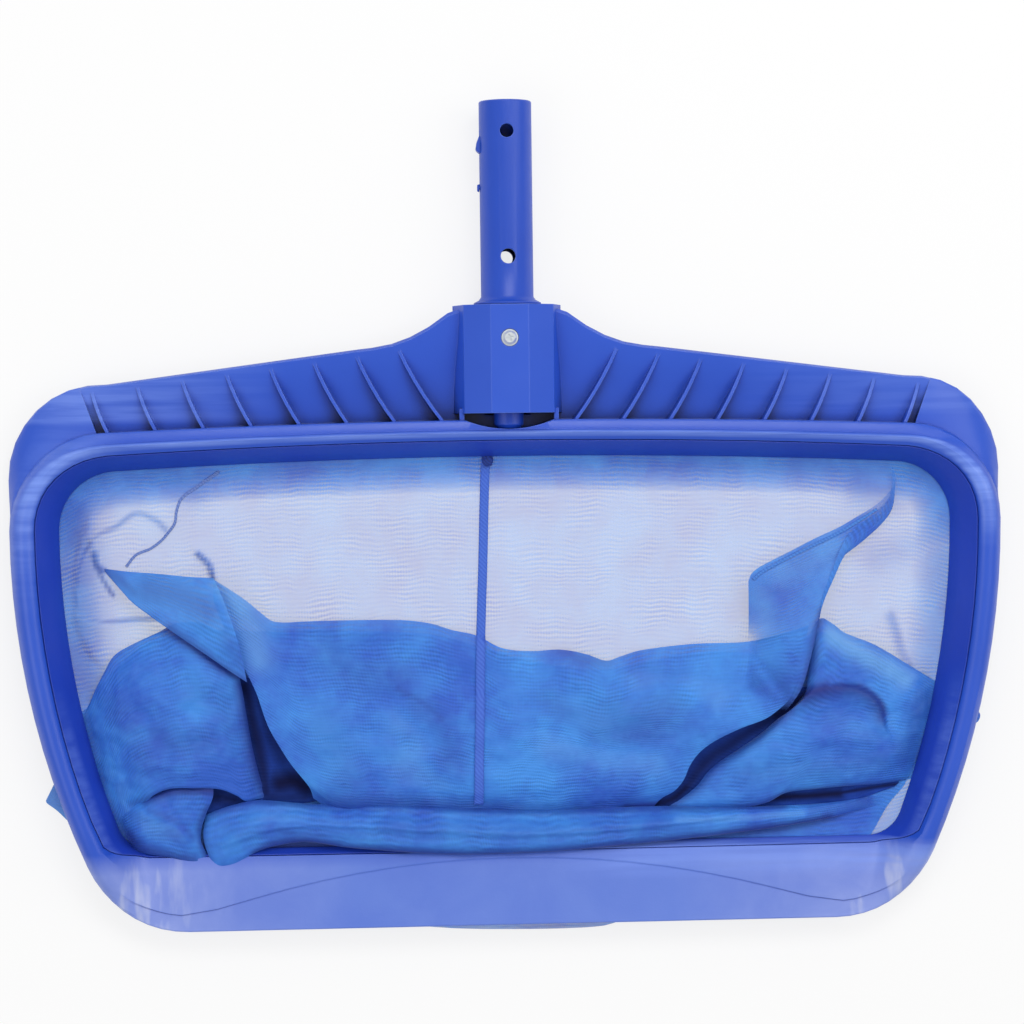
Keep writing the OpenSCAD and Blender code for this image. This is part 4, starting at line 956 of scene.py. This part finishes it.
bagBaseSettings = {
    "cells": (150, 44), "wrinkle": (0.5, 18.0), "seed": 6.1, "layers": 8.0,
    "top": [(-231, -101, 2), (-224, -89, 2), (-203, -69, 2), (-187, -63, 2), (-166, -60, 2), (-150, -60, 2),
            (-129, -61, 2), (-92, -61, 2), (-43, -64, 2), (-18, -71, 2), (12, -80, 2), (53, -85, 2),
            (99, -77, 2), (130, -77, 2), (150, -80, 2), (171, -66, 2), (184, -73, 2), (201, -80, 2),
            (221, -91, 2), (233, -98, 2)],
    "right": [(203, -173, 2.6), (209, -163, 2.4), (218, -152, 2), (222.5, -141, 2), (227, -126, 2),
              (231, -110, 2)],
    "bottom": [(-204, -179.6, 4), (-190, -180.4, 4), (-150, -180.4, 4), (-100, -180.4, 4), (0, -180.4, 4),
               (60, -180.4, 4), (106, -180.4, 4), (154, -180.4, 4), (187, -180.2, 4), (198.5, -179.6, 4)],
    "left": [(-210, -174, 3), (-218.5, -152, 2), (-226, -126, 2)],
    "shades": [
        mark([(-206, -178), (-190, -180), (-100, -180), (0, -180), (100, -180)], 7, 0.95),
        mark([(80, -180), (120, -177), (153, -174), (180, -168)], 3, 0.6),
    ],
}

# painted shade: dark sheets laid in the depth of the folds, seen between the pieces that lie over them, with
# painted darkest lines in them
shadeSheetSettings = {
    "cells": (48, 48), "wrinkle": (0.5, 8.0), "seed": 4.4, "layers": 9.0,
    "pieces": {
        "leftHollowShade": {
            "top": [(-152, -84, 3.2), (-136, -88, 3.2)],
            "right": [(-103, -142, 3.2), (-124, -118, 3.2)],
            "bottom": [(-142, -156, 3.2), (-122, -156, 3.2), (-104, -154, 3.2)],
            "left": [(-146, -138, 3.2), (-150, -110, 3.2)],
            "shades": [
                mark([(-146, -91), (-144.3, -95.3), (-141.8, -109), (-138.7, -122.8), (-136.2, -136.5),
                      (-134.7, -149)], 4.4, 0.85),
                mark([(-136, -100), (-130, -118), (-125, -130)], 7, 0.55),
                mark([(-127, -144), (-120, -143), (-113, -146)], 8.5, 1.0),
                mark([(-134, -151), (-114, -152)], 4, 0.7),
            ],
        },
        "knotHollowShade": {
            "top": [(-170, -142, 3.4), (-152, -143, 3.4), (-136, -150, 3.4)],
            "right": [(-137, -155, 3.4)],
            "bottom": [(-170, -166, 3.4), (-152, -160, 3.4), (-138, -158, 3.4)],
            "left": [(-171, -154, 3.4)],
            "shades": [mark([(-164.2, -151.6), (-158.8, -151.8), (-152.3, -153)], 4.4, 0.72)],
        },
        "rightCreaseShade": {
            "top": [(146, -98, 5), (166, -96, 5)],
            "right": [(98, -161, 3.6), (112, -147, 4), (128, -130, 4.4), (150, -114, 5)],
            "bottom": [(76, -160.5, 3.2), (97, -163, 3.2)],
            "left": [(84, -148, 3.6), (96, -128, 4), (118, -112, 4.4), (138, -103, 5)],
            "shades": [
                mark([(146.1, -112.3), (133.3, -119.8), (120.9, -127.8), (110.3, -134.6), (103, -142.4),
                      (97, -150.5)], 4.4, 0.78),
                mark([(161.8, -102), (154.5, -106.9), (146.1, -112.3)], 3.4, 0.95),
                mark([(97, -150.5), (88.4, -157.4), (76, -160.6)], 3.2, 0.95),
            ],
        },
        "rightSlitShade": {
            "top": [(128, -152, 3.2), (154, -149, 3.2), (184, -146, 3.2), (214, -145.5, 3)],
            "right": [(215, -150.2, 3)],
            "bottom": [(128, -168, 3.2), (154, -167, 3.2), (184, -162, 3.2), (213, -152.6, 3)],
            "left": [(127, -160, 3.2)],
            "shades": [
                mark([(143, -157.7), (151.2, -157.4), (165.2, -157), (181.9, -156)], 3.0, 1.0),
                mark([(180, -156), (193.1, -154.2), (204.3, -152.6), (223.9, -150.4)], 1.3, 0.9),
            ],
        },
    },
}

# corners of the bag that stick out from under the rim
tipSettings = {
    "cells": (24, 12), "crown": 0.8, "wrinkle": (0.4, 7.0), "seed": 2.2,
    "lights": [mark([(-254, -150), (-240, -160)], 12, 0.5)],
    "pieces": {
        "leftTip": {
            "layers": 7.0,
            "top": [(-254.5, -151.2, 1.4), (-251.3, -145, 1.6), (-248.5, -140.2, 1.8), (-243, -137, 2),
                    (-236, -134, 2), (-225, -131, 2)],
            "right": [(-221, -160, 2), (-223, -147, 2)],
            "bottom": [(-253, -153.5, 1.4), (-248.6, -156.8, 1.6), (-240.6, -164.3, 1.8), (-232, -168, 2),
                       (-220, -170, 2)],
            "left": [(-254.2, -152.4, 1.4)],
        },
        "rightTip": {
            "layers": 7.0,
            "top": [(230, -108, 2), (244, -109, 2), (252, -109.6, 1.8), (258.6, -110.2, 1.6)],
            "right": [(260.2, -117.6, 1.5), (261.4, -113.8, 1.5)],
            "bottom": [(230, -124, 2), (244, -122, 2), (252, -120.4, 1.8), (257.6, -119, 1.5)],
            "left": [(230, -116, 2)],
        },
        "lipTip": {
            "layers": 2.6,
            "top": [(-78, -184, 1.8), (-26, -184, 1.8), (26, -184, 1.8), (76, -184, 1.8)],
            "right": [(61.5, -222.5, 1.4), (66, -212, 1.6), (73, -196, 1.8)],
            "bottom": [(-62.5, -223, 1.3), (-51.5, -224.6, 1.2), (-29.5, -226.6, 1.2), (3.6, -227.7, 1.2),
                       (31.3, -227.8, 1.2), (50.7, -226.8, 1.2), (60.2, -224, 1.3)],
            "left": [(-64, -221, 1.5), (-70, -208, 1.7), (-76, -194, 1.8)],
        },
    },
}

bagBase = clothSheet("bagBase", bagBaseSettings)
settle(bagBase, [bagFloor], 0.5)
# painted shade: dark sheets in the depth of the folds
shadeSheets = [clothSheet(name, {**shadeSheetSettings, **piece}, meshDark)
              for name, piece in shadeSheetSettings["pieces"].items()]
tips = [clothSheet(name, {**tipSettings, **piece}) for name, piece in tipSettings["pieces"].items()]
bagMiddle = clothSheet("bagMiddle", bagMiddleSettings)
leftBlob = clothSheet("leftBlob", leftBlobSettings)
leftFlap = clothSheet("leftFlap", leftFlapSettings)
knotFold = clothSheet("knotFold", knotSettings)
rightTube = clothSheet("rightTube", rightTubeSettings)
rightFlap = clothSheet("rightFlap", rightFlapSettings)
frontRoll = clothSheet("frontRoll", frontRollSettings)
for piece, under in [(bagMiddle, [bagBase]), (leftBlob, [bagBase]), (knotFold, [bagBase]),
                     (rightTube, [bagBase, bagMiddle]), (leftFlap, [bagMiddle, leftBlob])]:
    settle(piece, under)
rightSlitShade = shadeSheets[-1]
settle(frontRoll, [bagBase, rightSlitShade], down=frontRollSettings["down"])
settle(rightFlap, [bagMiddle, rightTube], 0.7, rightFlapSettings["down"])
print("bag folds made")


seamSettings = {
    "width": 5.0, "sideWidth": 1.5, "thickness": 0.4,
    "lift": 0.45,       # how far the tape lies over the cloth
    "ground": 1.0,      # its height where no cloth lies under it
    "stations": 160,    # steps along the tape
    "centreSeam": [(-11.2, 33.2), (-12.4, 26), (-14.2, -23.5), (-15.8, -62), (-16.1, -67.1), (-17.1, -100),
                   (-18.2, -132.9), (-18.6, -157.1)],
    "leftSeam": [(-157.7, 27), (-168.1, 19.8), (-177.9, 12.8), (-180.8, 6.3), (-182, -0.7), (-185.8, -6.1),
                 (-189.7, -10.4), (-195.7, -14.7), (-203.4, -17.9), (-208.9, -24.3)],
    "rightSeam": [(203.2, 1.4), (193.8, -4.4), (182.8, -10.6), (171.2, -16.2), (154.4, -23.8), (138.4, -31.8),
                  (133.4, -36)],
}


def seamTape(name, line, width, pieces, finish):
    # a narrow tape that follows the cloth under it
    groundAt = groundUnder(pieces)
    stations = seamSettings["stations"]
    middle = evenly([point + (0,) for point in line], stations + 1)
    run = np.gradient(middle[:, :2], axis=0)
    run = run / np.linalg.norm(run, axis=1)[:, None]
    across = np.stack([-run[:, 1], run[:, 0]], axis=1)
    bpy.ops.mesh.primitive_grid_add(x_subdivisions=4, y_subdivisions=stations, size=2, location=(0, 0, 0))
    item = newPiece(name)
    grid = readPlaces(item)
    station = np.rint((grid[:, 1] + 1) / 2 * stations).astype(int)
    side = -grid[:, 0] * width / 2
    place = np.zeros((len(grid), 3))
    place[:, :2] = middle[station, :2] + across[station] * side[:, None]
    for i, (x, y, _) in enumerate(place):
        ground = groundAt(x * mm, y * mm)
        place[i, 2] = (seamSettings["ground"] if ground is None else ground / mm) + seamSettings["lift"]
    writePlaces(item, place * mm)
    thick = item.modifiers.new("tapeThickness", 'SOLIDIFY')
    thick.thickness = seamSettings["thickness"] * mm
    thick.offset = 1.0
    bpy.context.view_layer.objects.active = item
    bpy.ops.object.modifier_apply(modifier=thick.name)
    item.data.materials.append(finish)
    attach(item, "net")
    return item


allCloth = [bagFloor, bagBase, bagMiddle, leftBlob, leftFlap, knotFold, rightTube, rightFlap, frontRoll]
centreSeam = seamTape("centreSeam", seamSettings["centreSeam"], seamSettings["width"], allCloth, tapeBlue)
leftSeam = seamTape("leftSeam", seamSettings["leftSeam"], seamSettings["sideWidth"], allCloth, paleTape)
rightSeam = seamTape("rightSeam", seamSettings["rightSeam"], seamSettings["sideWidth"], allCloth, flapTape)


# where the centre seam ends under the ring, its bundled end makes a small lump
seamKnotSettings = {"place": (-10.8, 31.6, 4.6), "size": (6.4, 7.6, 3.0), "lumps": 0.25, "lumpScale": 3000}


def makeSeamKnot():
    bpy.ops.mesh.primitive_uv_sphere_add(segments=40, ring_count=24, radius=0.5 * mm, location=(0, 0, 0))
    item = newPiece("seamKnot")
    size, place = seamKnotSettings["size"], seamKnotSettings["place"]
    for vertex in item.data.vertices:
        lump = 1 + seamKnotSettings["lumps"] * noise.noise(vertex.co * seamKnotSettings["lumpScale"])
        vertex.co = Vector([(vertex.co[axis] * size[axis] * lump / mm + place[axis]) * mm
                            for axis in range(3)])
    item.data.materials.append(knotBlue)
    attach(item, "net")
    return item


seamKnot = makeSeamKnot()
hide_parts("centre_seam_tape")
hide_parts("left_seam_tape")
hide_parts("right_seam_tape")
print("seam tapes laid")

layCloth(bagFloor)
for piece in allCloth[1:] + shadeSheets + tips:
    layCloth(piece)
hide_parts("bag_left_panel", "bag_right_panel")

bpy.context.view_layer.update()
